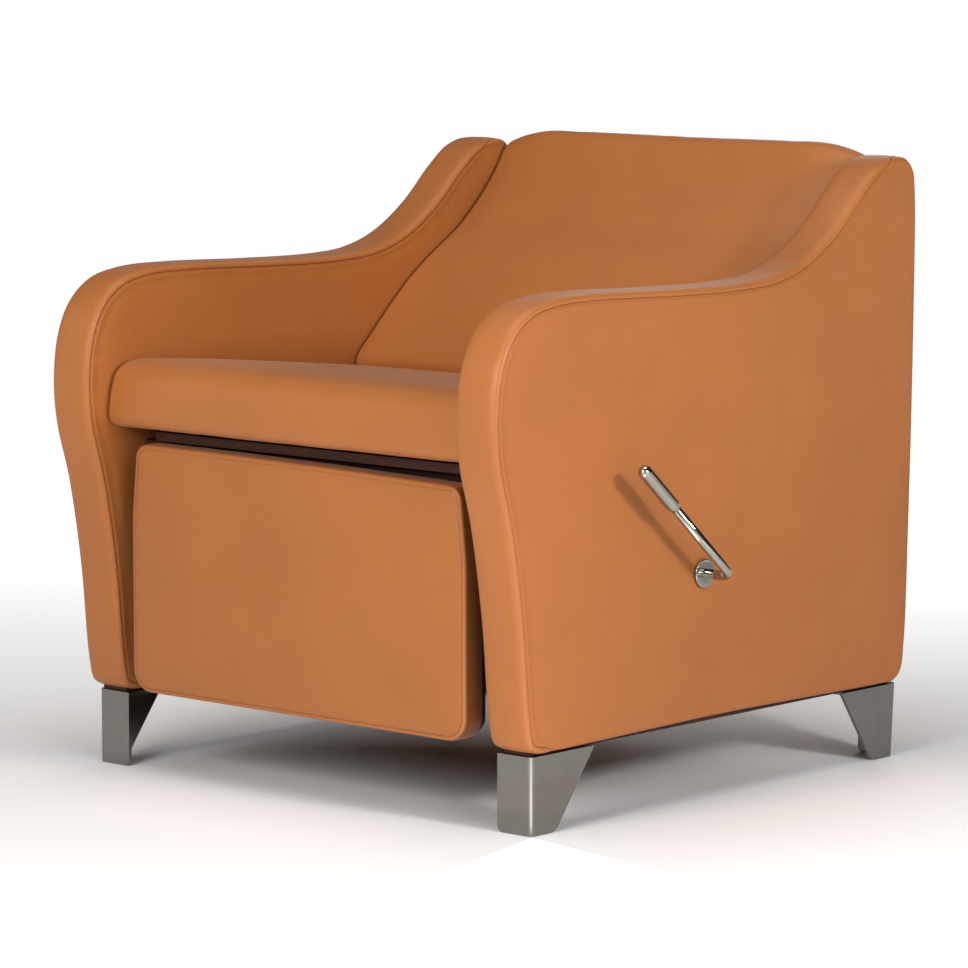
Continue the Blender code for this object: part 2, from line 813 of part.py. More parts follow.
def tube_along(path, radius, sides):
    """A solid round bar along a path: a ring of points at every corner, in the plane that halves it."""
    shape = bmesh.new()
    path = [Vector(point) for point in path]
    ways = [(b - a).normalized() for a, b in zip(path, path[1:])]
    upright = Vector((0.0, 0.0, 1.0))
    rings = []
    for i, point in enumerate(path):
        first = ways[max(i - 1, 0)]
        last = ways[min(i, len(ways) - 1)]
        normal = (first + last).normalized()
        across = upright - normal * upright.dot(normal)
        across.normalize()
        upright = across
        beside = normal.cross(across)
        ring = []
        for k in range(sides):
            angle = 2 * math.pi * k / sides
            spoke = (across * math.cos(angle) + beside * math.sin(angle)) * radius
            ring.append(shape.verts.new(point + spoke))
        rings.append(ring)
    shape.faces.new(rings[0])
    shape.faces.new(rings[-1])
    for low, high in zip(rings, rings[1:]):
        for k in range(sides):
            j = (k + 1) % sides
            shape.faces.new((low[k], low[j], high[j], high[k]))
    return shape


def make_lever(cover, frame):
    y, z = LEVER_AXIS
    shaft = along_x(LEVER_AXIS, -TUBE_END, TUBE_END, TUBE_RADIUS)
    tube = piece("torque_tube", shaft, BLACK_STEEL, LEVER)
    bore = along_x(LEVER_AXIS, -TUBE_END - 0.002, TUBE_END + 0.002, TUBE_BORE)
    boolean(tube, cutter("torque_tube_bore", bore), "DIFFERENCE")

    bar = piece("lever_rod", tube_along(rod_path(), ROD_RADIUS, 24), STEEL, LEVER)
    shade_round(bar)

    ahead = rod_direction()
    start = rod_corner() + ahead * (ROD_LENGTH - GRIP_LENGTH)
    steps = [(0.0, ROD_RADIUS + 0.0012), (0.0022, GRIP_RADIUS)]
    for angle in np.radians([0, 20, 40, 60, 78]):
        reach = GRIP_LENGTH - GRIP_RADIUS * (1 - math.sin(angle))
        steps.append((reach, GRIP_RADIUS * math.cos(angle)))
    grip = piece("lever_grip", turned_solid(steps, start, ahead), STEEL, LEVER)
    bore = rod(start - 0.002 * ahead, start + GRIP_BORE_DEPTH * ahead, ROD_RADIUS + CLEARANCE)
    boolean(grip, cutter("lever_grip_bore", bore), "DIFFERENCE")
    shade_round(grip)

    face = ARM_OUTSIDE + CLEARANCE
    outer = face + DISC_THICKNESS
    steps = [(face, DISC_RADIUS), (outer - 0.0012, DISC_RADIUS), (outer, DISC_RADIUS - 0.0012)]
    disc = piece("lever_escutcheon", turned_solid(steps, (0, y, z), (1, 0, 0), 40), STEEL)
    sleeve = along_x(LEVER_AXIS, ARM_INSIDE, ARM_OUTSIDE, BUSH_RADIUS - CLEARANCE, 32)
    bush = piece("lever_bush", sleeve, NYLON)
    inner_end = ARM_INSIDE - 0.01
    bore = along_x(LEVER_AXIS, inner_end, face + 0.02, ROD_RADIUS + 0.0004)
    shaft_hole = cutter("lever_shaft_hole", bore)
    boolean(disc, shaft_hole, "DIFFERENCE")
    boolean(bush, shaft_hole, "DIFFERENCE")
    bore = along_x(LEVER_AXIS, inner_end, ARM_OUTSIDE + 0.01, BUSH_RADIUS, 32)
    bush_hole = cutter("lever_bush_hole", bore)
    boolean(cover, bush_hole, "DIFFERENCE")
    boolean(frame, bush_hole, "DIFFERENCE")


# Back


def back_slab(offset, length_from=0.0, length_to=1.0, thickness=0.0):
    """A flat board's side profile, parallel to the back's slab line and behind it by the offset."""
    bottom, top = np.array(BACK_SLAB_BOTTOM), np.array(BACK_SLAB_TOP)
    along = top - bottom
    behind = np.array([along[1], -along[0]]) / np.linalg.norm(along)
    a = bottom + along * length_from + behind * offset
    b = bottom + along * length_to + behind * offset
    return [a, b, b + behind * thickness, a + behind * thickness]


def make_back():
    half = BACK_HALF_WIDTH
    front = smooth_path(BACK_FRONT, 2)
    slab = back_slab(0.0)
    heel = [(BACK_REAR, 0.7480), (BACK_REAR - 0.004, 0.7400), slab[1], slab[0]]
    profile = front + [np.array(corner) for corner in heel]
    cushion = piece("back_cushion", prism(profile, -half, half), VINYL, BACK)
    bevel(cushion, 0.010, 2, 60.0)

    board = prism(back_slab(CLEARANCE, 0.03, 0.93, BACK_BOARD), -half + 0.014, half - 0.014)
    piece("back_board", board, PLYWOOD, BACK)

    rear_wall = block((-half, BACK_REAR - 0.007, FLAP_BOTTOM), (half, BACK_REAR, 0.7320))
    cover = piece("back_outer_cover", rear_wall, VINYL, BACK)
    lead = back_slab(0.004, 0.20, 1.02)[0]
    corners = [lead, (BACK_REAR - 0.003, 0.7290), (BACK_REAR - 0.003, 0.4300), (0.6100, 0.4800)]
    wall = [np.array(corner) for corner in corners]
    for side, sign in SIDES.items():
        sheet = prism(wall, sign * (half - 0.0125), sign * (half - 0.0005))
        boolean(cover, cutter(f"back_cheek_{side}", sheet), "UNION")

    y, z = BACK_AXIS
    for side, sign in SIDES.items():
        lower = back_slab(BACK_BOARD + 2 * CLEARANCE + 0.007, 0.08, 0.45)
        stations = [(y, z, 0.0100), (*lower[0], 0.0070), (*lower[1], 0.0070)]
        name = f"back_bracket_{side}"
        bracket = flat_link(name, stations, BACK_BRACKET_OUT, sign, BACK, [(BACK_AXIS, PIN_HOLE)])
        tab = back_slab(BACK_BOARD + 2 * CLEARANCE, 0.10, 0.42, 0.003)
        inner = sign * (BACK_BRACKET_OUT - 0.036)
        flange = prism(tab, inner, sign * (BACK_BRACKET_OUT - 0.0005))
        boolean(bracket, cutter(f"back_bracket_tab_{side}", flange), "UNION")
        head = BACK_BRACKET_OUT - PLATE - CLEARANCE
        pivot_pin(f"back_pin_{side}", BACK_AXIS, head, True, SIDE_PLATE_OUT, sign, BACK)


clear_scene()
PARTS = new_collection("patient_recliner")
CUTTERS = new_collection("cutters")

VINYL = new_material("tan_vinyl", (0.58, 0.25, 0.09), 0.48)
STEEL = new_material("polished_steel", (0.62, 0.60, 0.57), 0.16, 1.0)
BLACK_STEEL = new_material("black_steel", (0.03, 0.03, 0.03), 0.45, 0.6)
ZINC = new_material("zinc_plate", (0.60, 0.60, 0.58), 0.35, 1.0)
PLYWOOD = new_material("birch_plywood", (0.62, 0.46, 0.28), 0.65)
BEECH = new_material("beech", (0.55, 0.37, 0.20), 0.60)
BROWN_BOARD = new_material("brown_board", (0.10, 0.035, 0.015), 0.60)
NYLON = new_material("black_nylon", (0.02, 0.02, 0.02), 0.50)

CHAIR = new_empty("chair", (-CENTRE_X, -CENTRE_Y, 0.0))
LEVER = new_empty("lever_axis", (0.0, *LEVER_AXIS), CHAIR)
KNEE = new_empty("knee_axis", (0.0, *KNEE_AXIS), CHAIR)
PANEL = new_empty("panel_axis", (0.0, *PANEL_AXIS), CHAIR)
GUIDE = new_empty("guide_axis", (0.0, *GUIDE_AXIS), CHAIR)
BACK = new_empty("back_axis", (0.0, *BACK_AXIS), CHAIR)

for side_name, side_sign in SIDES.items():
    arm_cover, arm_frame = make_arm(side_name, side_sign)
    for end_name in ("front", "rear"):
        one_foot = make_foot(end_name, side_name, side_sign)
        make_foot_screws(end_name, side_name, side_sign, one_foot, arm_frame)
    seat_rail = make_seat_rail(side_name, side_sign)
    side_plate = make_side_plate(side_name, side_sign)
    make_rail_bolts(side_name, side_sign, [side_plate, seat_rail, arm_cover, arm_frame])
    make_linkage(side_name, side_sign)
    if side_name == "left":
        make_lever(arm_cover, arm_frame)
make_cross_rails()
make_seat()
make_legrest()
make_back()
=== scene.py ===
"""Looks of the patient recliner chair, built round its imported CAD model.

Lengths are metres. Shapes are drawn in the chair's own coordinates, X from the middle plane, Y from the
front of the front feet and Z from the floor, and every mesh is moved to the frame's origin when it is made.
"""

import json
import math

import bmesh
import bpy
import numpy as np
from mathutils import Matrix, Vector, geometry, noise

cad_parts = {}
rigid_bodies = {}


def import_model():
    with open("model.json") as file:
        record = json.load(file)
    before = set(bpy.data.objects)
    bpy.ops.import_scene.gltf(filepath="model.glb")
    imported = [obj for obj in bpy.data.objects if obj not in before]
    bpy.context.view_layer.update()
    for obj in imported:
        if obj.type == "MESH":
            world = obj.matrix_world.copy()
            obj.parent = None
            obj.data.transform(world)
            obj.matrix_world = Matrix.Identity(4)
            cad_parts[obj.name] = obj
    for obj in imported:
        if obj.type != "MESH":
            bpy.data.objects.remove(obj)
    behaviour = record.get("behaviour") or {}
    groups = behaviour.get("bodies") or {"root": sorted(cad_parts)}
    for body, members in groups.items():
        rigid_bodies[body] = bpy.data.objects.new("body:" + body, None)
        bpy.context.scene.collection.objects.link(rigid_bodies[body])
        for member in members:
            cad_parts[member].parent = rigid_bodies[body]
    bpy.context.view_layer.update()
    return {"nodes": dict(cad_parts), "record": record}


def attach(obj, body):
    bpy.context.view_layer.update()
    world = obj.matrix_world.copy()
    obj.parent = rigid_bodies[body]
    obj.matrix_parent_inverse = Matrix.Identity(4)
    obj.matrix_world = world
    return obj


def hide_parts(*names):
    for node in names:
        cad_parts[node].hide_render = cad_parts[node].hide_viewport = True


for leftover in list(bpy.data.objects):
    bpy.data.objects.remove(leftover, do_unlink=True)

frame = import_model()

# The frame's origin in the chair's coordinates.
ORIGIN = np.array([0.0269, 0.3420, 0.0])
# The sitter's sides, with the sign of X on each.
SIDES = {"left": 1, "right": -1}

# The arm's outline seen from the side, as (Y, Z).
ARM_PROFILE = [
    (0.0400, 0.0985),
    (0.0100, 0.0990),
    (-0.0080, 0.1080),
    (-0.0165, 0.1400),
    (-0.0290, 0.2610),
    (-0.0480, 0.3720),
    (-0.0690, 0.4500),
    (-0.0735, 0.5050),
    (-0.0650, 0.5640),
    (-0.0440, 0.6050),
    (-0.0090, 0.6320),
    (0.0420, 0.6440),
    (0.1200, 0.6460),
    (0.2640, 0.6420),
    (0.3900, 0.6410),
    (0.4660, 0.6470),
    (0.5250, 0.6655),
    (0.5850, 0.7030),
    (0.6370, 0.7500),
    (0.6720, 0.7752),
    (0.7050, 0.7846),
    (0.7310, 0.7818),
    (0.7455, 0.7660),
    (0.7500, 0.7380),
    (0.7500, 0.5500),
    (0.7440, 0.3000),
    (0.7370, 0.1500),
    (0.7300, 0.1130),
    (0.7150, 0.0995),
    (0.6900, 0.0985),
    (0.3650, 0.1020),
]
ARM_MIDDLE = 0.347
ARM_HALF = 0.033
ARM_EDGE = 0.009
# Lengths round the arm's section, from the middle of its boxing strip: where the strip's flat ends, where
# the side face starts, and where the seam runs on the edges that show and on those that don't.
STRIP_FLAT = ARM_HALF - ARM_EDGE
FACE_START = STRIP_FLAT + ARM_EDGE * math.pi / 2
SEAM_AT_FACE = FACE_START - 0.0006
SEAM_HIDDEN = 0.019
# Rows of the arm's mesh by its seam, in millimetres from it, with the row that carries the stitches.
SEAM_ROWS = [-9.0, -6.5, -4.6, -3.4, -2.6, -2.1, -1.7, -1.3, -0.9, -0.6, -0.3, 0.0]
SEAM_ROWS += [0.3, 0.6, 1.0, 1.6, 2.4, 3.2]
STITCHED_ROW = -3.4
# Rows of the strip before those, as shares of the way to them.
STRIP_ROWS = (0.0, 0.25, 0.5, 0.75)
# How far the arm's side faces are drawn in beside the seam, and over what width.
FACE_PULL = 0.0021
PULL_WIDTH = 0.0085

# The seat's section from front to rear, as (Y, Z), and half its width.
SEAT_SECTION = [
    (0.4400, 0.4010),
    (0.2000, 0.4240),
    (0.0200, 0.4410),
    (-0.0180, 0.4450),
    (-0.0300, 0.4480),
    (-0.0375, 0.4545),
    (-0.0396, 0.4640),
    (-0.0378, 0.4820),
    (-0.0350, 0.4975),
    (-0.0295, 0.5120),
    (-0.0190, 0.5225),
    (-0.0035, 0.5280),
    (0.0200, 0.5290),
    (0.0600, 0.5265),
    (0.1275, 0.5210),
    (0.2200, 0.5118),
    (0.3000, 0.5030),
    (0.4000, 0.4925),
    (0.4400, 0.4860),
    (0.4540, 0.4680),
    (0.4560, 0.4300),
    (0.4510, 0.4090),
]
SEAT_HALF = 0.3115
SEAT_EDGE = 0.0060
# The seat's underside: its height at one Y, and how much it falls for each metre rearwards.
UNDERSIDE = {"z": 0.4440, "y": -0.0380, "fall": 0.0970}

# The back's section, as (Y, Z), and half its width.
BACK_SECTION = [
    (0.5270, 0.4860),
    (0.4650, 0.4780),
    (0.4240, 0.4840),
    (0.4200, 0.5000),
    (0.4540, 0.5370),
    (0.5000, 0.5810),
    (0.5610, 0.6310),
    (0.6260, 0.6770),
    (0.6760, 0.7270),
    (0.7050, 0.7640),
    (0.7180, 0.7850),
    (0.7290, 0.7960),
    (0.7400, 0.7985),
    (0.7500, 0.7930),
    (0.7550, 0.7790),
    (0.7545, 0.7500),
    (0.7400, 0.7180),
    (0.6400, 0.6080),
]
BACK_HALF = 0.3118
BACK_EDGE = 0.0050
# The rear face of the back's board, as two points of it.
BACK_REAR = ((0.5300, 0.4830), (0.7441, 0.7202))
# How far air pressure lifts a cushion's crown, and how wide a cushion may then be, each way.
CROWN = 0.0050
CLEAR_HALF = 0.3120

# The outer back, from its lower hem to under the crest.
OUTER_BACK = {"rear": 0.7570, "low": 0.3450, "high": 0.7340, "half": 0.3100}
LOWER_BACK = {"low": 0.1020, "high": 0.3550, "half": 0.3127}

# The legrest's panel: its outline as (X, Z) with each corner's radius, the depth of its joint with the
# board, the width of its front lip, and where its seam lies in from the outline.
LEGREST_CORNERS = [
    (-0.2865, 0.1060),
    (-0.2865, 0.3300),
    (-0.2775, 0.4215),
    (0.2775, 0.4215),
    (0.2865, 0.3300),
    (0.2865, 0.1060),
]
LEGREST_RADII = [0.030, 0.3, 0.019, 0.019, 0.3, 0.030]
LEGREST_JOIN = 0.0107
LEGREST_LIP = 0.0046
LEGREST_SEAM = 0.0055


# Curves and loops


def catmull_rom(p0, p1, p2, p3, steps):
    knots = [0.0]
    for a, b in ((p0, p1), (p1, p2), (p2, p3)):
        knots.append(knots[-1] + math.sqrt(np.linalg.norm(b - a)))
    t0, t1, t2, t3 = knots
    out = []
    for t in np.linspace(t1, t2, steps, endpoint=False):
        a1 = (t1 - t) / (t1 - t0) * p0 + (t - t0) / (t1 - t0) * p1
        a2 = (t2 - t) / (t2 - t1) * p1 + (t - t1) / (t2 - t1) * p2
        a3 = (t3 - t) / (t3 - t2) * p2 + (t - t2) / (t3 - t2) * p3
        b1 = (t2 - t) / (t2 - t0) * a1 + (t - t0) / (t2 - t0) * a2
        b2 = (t3 - t) / (t3 - t1) * a2 + (t - t1) / (t3 - t1) * a3
        out.append((t2 - t) / (t2 - t1) * b1 + (t - t1) / (t2 - t1) * b2)
    return out


def smooth_loop(points, steps=12):
    ring = [np.array(p, float) for p in points]
    n = len(ring)
    out = []
    for i in range(n):
        out += catmull_rom(ring[i - 1], ring[i], ring[(i + 1) % n], ring[(i + 2) % n], steps)
    return np.array(out)


def resample(loop, step):
    """The closed loop at even steps along its length."""
    closed = np.vstack([loop, loop[:1]])
    lengths = np.concatenate([[0.0], np.cumsum(np.linalg.norm(np.diff(closed, axis=0), axis=1))])
    count = int(round(lengths[-1] / step))
    at = np.linspace(0.0, lengths[-1], count, endpoint=False)
    return np.column_stack([np.interp(at, lengths, closed[:, k]) for k in (0, 1)])


def outward(loop):
    """Outward normals of a closed loop that has its inside on its right."""
    along = np.roll(loop, -1, axis=0) - np.roll(loop, 1, axis=0)
    along /= np.linalg.norm(along, axis=1)[:, None]
    normal = np.column_stack([-along[:, 1], along[:, 0]])
    for _ in range(2):
        normal = normal + 0.5 * (np.roll(normal, 1, axis=0) + np.roll(normal, -1, axis=0))
        normal /= np.linalg.norm(normal, axis=1)[:, None]
    return normal


def rounded_polygon(corners, radii, steps=10):
    """A polygon, listed with its inside on its right, with each corner rounded by its own radius."""
    ring = [np.array(c, float) for c in corners]
    out = []
    for i, (corner, radius) in enumerate(zip(ring, radii)):
        u = ring[i - 1] - corner
        v = ring[(i + 1) % len(ring)] - corner
        u, v = u / np.linalg.norm(u), v / np.linalg.norm(v)
        half = math.acos(max(-1.0, min(1.0, float(u @ v)))) / 2
        reach = radius / math.tan(half)
        middle = corner + (u + v) / np.linalg.norm(u + v) * radius / math.sin(half)
        start, end = corner + u * reach - middle, corner + v * reach - middle
        for t in np.linspace(0.0, 1.0, steps + 1):
            way = start * (1 - t) + end * t
            out.append(middle + way / np.linalg.norm(way) * radius)
    return np.array(out)


def distance_to_loop(points, loop):
    """Shortest distance from each point to the closed loop's segments."""
    best = np.full(len(points), 1e9)
    ends = np.roll(loop, -1, axis=0)
    for a, b in zip(loop, ends):
        ab = b - a
        t = np.clip(((points - a) @ ab) / max(ab @ ab, 1e-18), 0.0, 1.0)
        gap = points - (a + t[:, None] * ab)
        best = np.minimum(best, np.einsum("ij,ij->i", gap, gap))
    return np.sqrt(best)


def inside_loop(points, loop):
    crossings = np.zeros(len(points), int)
    ends = np.roll(loop, -1, axis=0)
    for a, b in zip(loop, ends):
        spans = (a[1] > points[:, 1]) != (b[1] > points[:, 1])
        if spans.any():
            at = a[0] + (points[:, 1] - a[1]) / (b[1] - a[1] + 1e-18) * (b[0] - a[0])
            crossings += spans & (points[:, 0] < at)
    return crossings % 2 == 1


# Meshes


def fill_loop(loop, spacing):
    """Triangles inside a loop with an even grid of inner points: (inner points, faces)."""
    low, high = loop.min(axis=0), loop.max(axis=0)
    grid = []
    row = 0
    y = low[1] + spacing / 2
    while y < high[1]:
        shift = spacing / 2 if row % 2 else 0.0
        for x in np.arange(low[0] + shift, high[0], spacing):
            grid.append((x, y))
        y += spacing * math.sqrt(3) / 2
        row += 1
    grid = np.array(grid)
    grid = grid[inside_loop(grid, loop)]
    grid = grid[distance_to_loop(grid, loop) > spacing * 0.6]
    every = [Vector(p) for p in np.vstack([loop, grid])]
    n = len(loop)
    edges = [(i, (i + 1) % n) for i in range(n)]
    made = geometry.delaunay_2d_cdt(every, edges, [], 1, 1e-7)
    points, faces, origins = made[0], made[2], made[3]
    if len(points) != len(every):
        raise ValueError("the fill's outline crosses itself")
    back = [o[0] for o in origins]
    return grid, [[back[i] for i in face] for face in faces]


def tube_faces(rings, around, base=0):
    """The side faces between rings of points that follow each other in a mesh."""
    faces = []
    for ring in range(rings - 1):
        a, b = base + ring * around, base + (ring + 1) * around
        for k in range(around):
            j = (k + 1) % around
            faces.append([a + k, a + j, b + j, b + k])
    return faces


def closed_tube(rings, around, base=0):
    """The side faces of a tube and its two end faces."""
    ends = [[first + k for k in range(around)] for first in (base, base + (rings - 1) * around)]
    return tube_faces(rings, around, base) + ends


class Shell:
    """A closed skin: rows of the same loop at growing depth, with both ends filled.

    Its points are (depth, the loop's two coordinates). gap is each end point's distance from the end's rim,
    and end is -1 or 1 for a point of the first or the last end, and 0 elsewhere.
    """

    def __init__(self, loop, depths, insets, spacing):
        normal = outward(loop)
        rows, n = len(depths), len(loop)
        self.normal, self.rows, self.n = normal, rows, n
        depth = np.array([np.broadcast_to(d, n) for d in depths])
        inset = np.array([np.broadcast_to(i, n) for i in insets])
        flat = loop[None] - normal[None] * inset[:, :, None]
        self.points = np.concatenate([depth[:, :, None], flat], axis=2).reshape(-1, 3)
        self.gap = np.zeros(rows * n)
        self.faces = tube_faces(rows, n)
        self.end = np.zeros(rows * n, int)
        for row, sign in ((0, -1), (rows - 1, 1)):
            ring = flat[row]
            inner, faces = fill_loop(ring, spacing)
            start = len(self.points)
            level = np.full((len(inner), 1), depth[row].mean())
            self.points = np.vstack([self.points, np.column_stack([level, inner])])
            self.gap = np.concatenate([self.gap, distance_to_loop(inner, ring)])
            self.end = np.concatenate([self.end, np.full(len(inner), sign)])
            self.end[row * n : (row + 1) * n] = sign
            for face in faces:
                self.faces.append([row * n + i if i < n else start + i - n for i in face])

    def grid(self, values):
        """The values of the rows' own points, as rows."""
        return values[: self.rows * self.n].reshape(self.rows, self.n, *values.shape[1:])

    def swell(self, height, reach):
        """How far each point of the last end rises: little by its rim, the whole height far from it."""
        return np.where(self.end > 0, height * (1 - np.exp(-self.gap / reach)), 0.0)

    def upright(self):
        """The points of a panel whose depth runs along Y, with its loop drawn in X and Z."""
        return np.column_stack([self.points[:, 1], self.points[:, 0], self.points[:, 2]])


def to_object(name, points, faces, smooth=True):
    """A mesh object from points in the chair's coordinates, with its faces turned outwards."""
    mesh = bpy.data.meshes.new(name)
    mesh.from_pydata((points - ORIGIN).tolist(), [], faces)
    work = bmesh.new()
    work.from_mesh(mesh)
    bmesh.ops.recalc_face_normals(work, faces=work.faces)
    work.to_mesh(mesh)
    work.free()
    if smooth:
        mesh.polygons.foreach_set("use_smooth", np.ones(len(mesh.polygons), bool))
    made = bpy.data.objects.new(name, mesh)
    bpy.context.scene.collection.objects.link(made)
    return made


def paint_shade_and_highlight(obj, seam, painted_highlight):
    """Writes the painted shade and the painted highlight at the rows' points. The other points have none."""
    rest = np.zeros(len(obj.data.vertices) - seam.size)
    for name, values in (("seam", seam), ("painted_highlight", painted_highlight)):
        made = obj.data.attributes.new(name, "FLOAT", "POINT")
        made.data.foreach_set("value", np.concatenate([values.ravel(), rest]).astype(np.float32))


def eased(t):
    """A value from 0 to 1 with a smooth start and end."""
    return t * t * (3 - 2 * t)


def waviness(points, scale, seed):
    """Smooth unevenness from -1 to 1 at each point, the same on every run."""
    return np.array([noise.noise(Vector(p) * scale + Vector((seed, 0, 0))) for p in points])


def stitch_row(name, path, normals, pitch, length, radius, lift=0.25):
    """A row of stitches along a path, each a short thread that dips into the skin at both ends."""
    lengths = np.concatenate([[0.0], np.cumsum(np.linalg.norm(np.diff(path, axis=0), axis=1))])
    count = int(lengths[-1] / pitch)
    sides = 6
    # Each ring of a stitch: its place along it, its width and its height.
    stations = [(-0.5, 0.15, -0.9), (-0.34, 0.8, -0.1), (0.0, 1.0, 0.2), (0.34, 0.8, -0.1), (0.5, 0.15, -0.9)]
    points, faces = [], []
    for k in range(count):
        at = (k + 0.5) * pitch
        centre = np.array([np.interp(at, lengths, path[:, a]) for a in range(3)])
        ahead = np.array([np.interp(at + 1e-4, lengths, path[:, a]) for a in range(3)]) - centre
        up = np.array([np.interp(at, lengths, normals[:, a]) for a in range(3)])
        size = np.linalg.norm(ahead)
        if size < 1e-9:
            continue
        ahead /= size
        up -= ahead * (up @ ahead)
        up /= np.linalg.norm(up)
        beside = np.cross(ahead, up)
        base = len(points)
        for along, width, rise in stations:
            middle = centre + ahead * along * length + up * radius * (rise + lift)
            for s in range(sides):
                angle = 2 * math.pi * s / sides
                spoke = beside * math.cos(angle) + up * math.sin(angle)
                points.append(middle + spoke * radius * width)
        faces += closed_tube(len(stations), sides, base)
    return to_object(name, np.array(points), faces)


def turned(name, steps, origin, direction, sides=64):
    """A solid turned about a line, from (distance along it, radius) steps, with a flat face at each end."""
    direction = Vector(direction).normalized()
    turn = np.array(direction.to_track_quat("Z", "Y").to_matrix())
    points = []
    for distance, radius in steps:
        for k in range(sides):
            angle = 2 * math.pi * k / sides
            local = np.array([radius * math.cos(angle), radius * math.sin(angle), distance])
            points.append(np.array(origin) + turn @ local)
    return to_object(name, np.array(points), closed_tube(len(steps), sides))


def swept(name, path, radius, sides=40):
    """A round bar along a path."""
    path = [Vector(p) for p in path]
    ways = [(b - a).normalized() for a, b in zip(path, path[1:])]
    upright = Vector((0.0, 0.0, 1.0))
    points = []
    for i, point in enumerate(path):
        normal = (ways[max(i - 1, 0)] + ways[min(i, len(ways) - 1)]).normalized()
        across = (upright - normal * upright.dot(normal)).normalized()
        upright = across
        beside = normal.cross(across)
        for k in range(sides):
            angle = 2 * math.pi * k / sides
            spoke = across * math.cos(angle) + beside * math.sin(angle)
            points.append(np.array(point + spoke * radius))
    return to_object(name, np.array(points), closed_tube(len(path), sides))


# Materials


def new_material(name):
    made = bpy.data.materials.new(name)
    made.use_nodes = True
    tree = made.node_tree
    return made, tree, tree.nodes["Principled BSDF"]


def node(tree, kind, inputs=None, **settings):
    made = tree.nodes.new(kind)
    for key, value in settings.items():
        setattr(made, key, value)
    for key, value in (inputs or {}).items():
        if isinstance(value, bpy.types.NodeSocket):
            tree.links.new(value, made.inputs[key])
        else:
            made.inputs[key].default_value = value
    return made


def on_object(tree):
    """The object's own coordinates, in metres."""
    return node(tree, "ShaderNodeTexCoord").outputs["Object"]


def maths(tree, operation, *values):
    return node(tree, "ShaderNodeMath", dict(enumerate(values)), operation=operation).outputs[0]


def noise_value(tree, where, scale, detail=2.0, roughness=0.5):
    """A noise texture's value."""
    made = node(tree, "ShaderNodeTexNoise", {"Vector": where, "Scale": scale, "Detail": detail})
    made.inputs["Roughness"].default_value = roughness
    return made.outputs["Fac"]


def in_range(tree, value, low, high, from_low=0.3, from_high=0.7):
    made = node(tree, "ShaderNodeMapRange", {"Value": value, "To Min": low, "To Max": high})
    made.inputs["From Min"].default_value = from_low
    made.inputs["From Max"].default_value = from_high
    return made.outputs["Result"]


def mix_colour(tree, factor, a, b, blend="MIX"):
    made = node(tree, "ShaderNodeMix", data_type="RGBA", blend_type=blend)
    for key, value in ((0, factor), (6, a), (7, b)):
        if isinstance(value, bpy.types.NodeSocket):
            tree.links.new(value, made.inputs[key])
        elif key == 0:
            made.inputs[key].default_value = value
        else:
            made.inputs[key].default_value = (*value, 1.0)
    return made.outputs[2]


def bump(tree, height, strength, distance, normal=None):
    made = node(tree, "ShaderNodeBump", {"Height": height, "Strength": strength, "Distance": distance})
    if normal is not None:
        tree.links.new(normal, made.inputs["Normal"])
    return made.outputs["Normal"]


def vinyl(name, colour):
    """Coated upholstery fabric: fine grain, soft sheen and faint cloudiness, with painted shade along seams
    and shaded bands and a painted highlight on welts and edges.
    """
    made, tree, shader = new_material(name)
    where = on_object(tree)
    base = np.array(colour)
    cloud = noise_value(tree, where, 7.0, 3.0)
    tone = mix_colour(tree, in_range(tree, cloud, 0.0, 1.0), base * 0.95, np.minimum(base * 1.05, 1.0))
    fleck = in_range(tree, noise_value(tree, where, 420.0, 2.0), 0.0, 1.0)
    tone = mix_colour(tree, fleck, tone, (1.04, 1.03, 1.02), "MULTIPLY")
    # Painted shade: darkens the colour along the seam grooves and on the legrest's shaded side bands.
    seam = node(tree, "ShaderNodeAttribute", attribute_name="seam").outputs["Fac"]
    tone = mix_colour(tree, seam, tone, base * 0.16)
    # Painted highlight: lightens the colour on the seam welts and along the legrest's lip edge.
    painted_highlight = node(tree, "ShaderNodeAttribute", attribute_name="painted_highlight").outputs["Fac"]
    tone = mix_colour(tree, painted_highlight, tone, np.minimum(base * 1.16 + 0.012, 1.0))
    tree.links.new(tone, shader.inputs["Base Color"])
    patches = noise_value(tree, where, 26.0, 3.0)
    tree.links.new(in_range(tree, patches, 0.43, 0.53), shader.inputs["Roughness"])
    cells = node(tree, "ShaderNodeTexVoronoi", {"Vector": where, "Scale": 950.0}, feature="SMOOTH_F1")
    pores = noise_value(tree, where, 1500.0, 2.0)
    relief = maths(tree, "ADD", cells.outputs["Distance"], pores)
    drawn = noise_value(tree, where, 11.0, 1.0)
    normal = bump(tree, drawn, 0.10, 0.004)
    normal = bump(tree, relief, 0.10, 0.0004, normal)
    tree.links.new(normal, shader.inputs["Normal"])
    shader.inputs["Specular IOR Level"].default_value = 0.42
    shader.inputs["Sheen Weight"].default_value = 0.06
    shader.inputs["Sheen Roughness"].default_value = 0.45
    return made


def thread(name, colour):
    made, tree, shader = new_material(name)
    where = on_object(tree)
    twist = noise_value(tree, where, 1800.0, 1.0)
    tone = mix_colour(tree, in_range(tree, twist, 0.0, 1.0), np.array(colour) * 0.8, np.array(colour) * 1.15)
    tree.links.new(tone, shader.inputs["Base Color"])
    tree.links.new(bump(tree, twist, 0.3, 0.0002), shader.inputs["Normal"])
    shader.inputs["Roughness"].default_value = 0.55
    return made


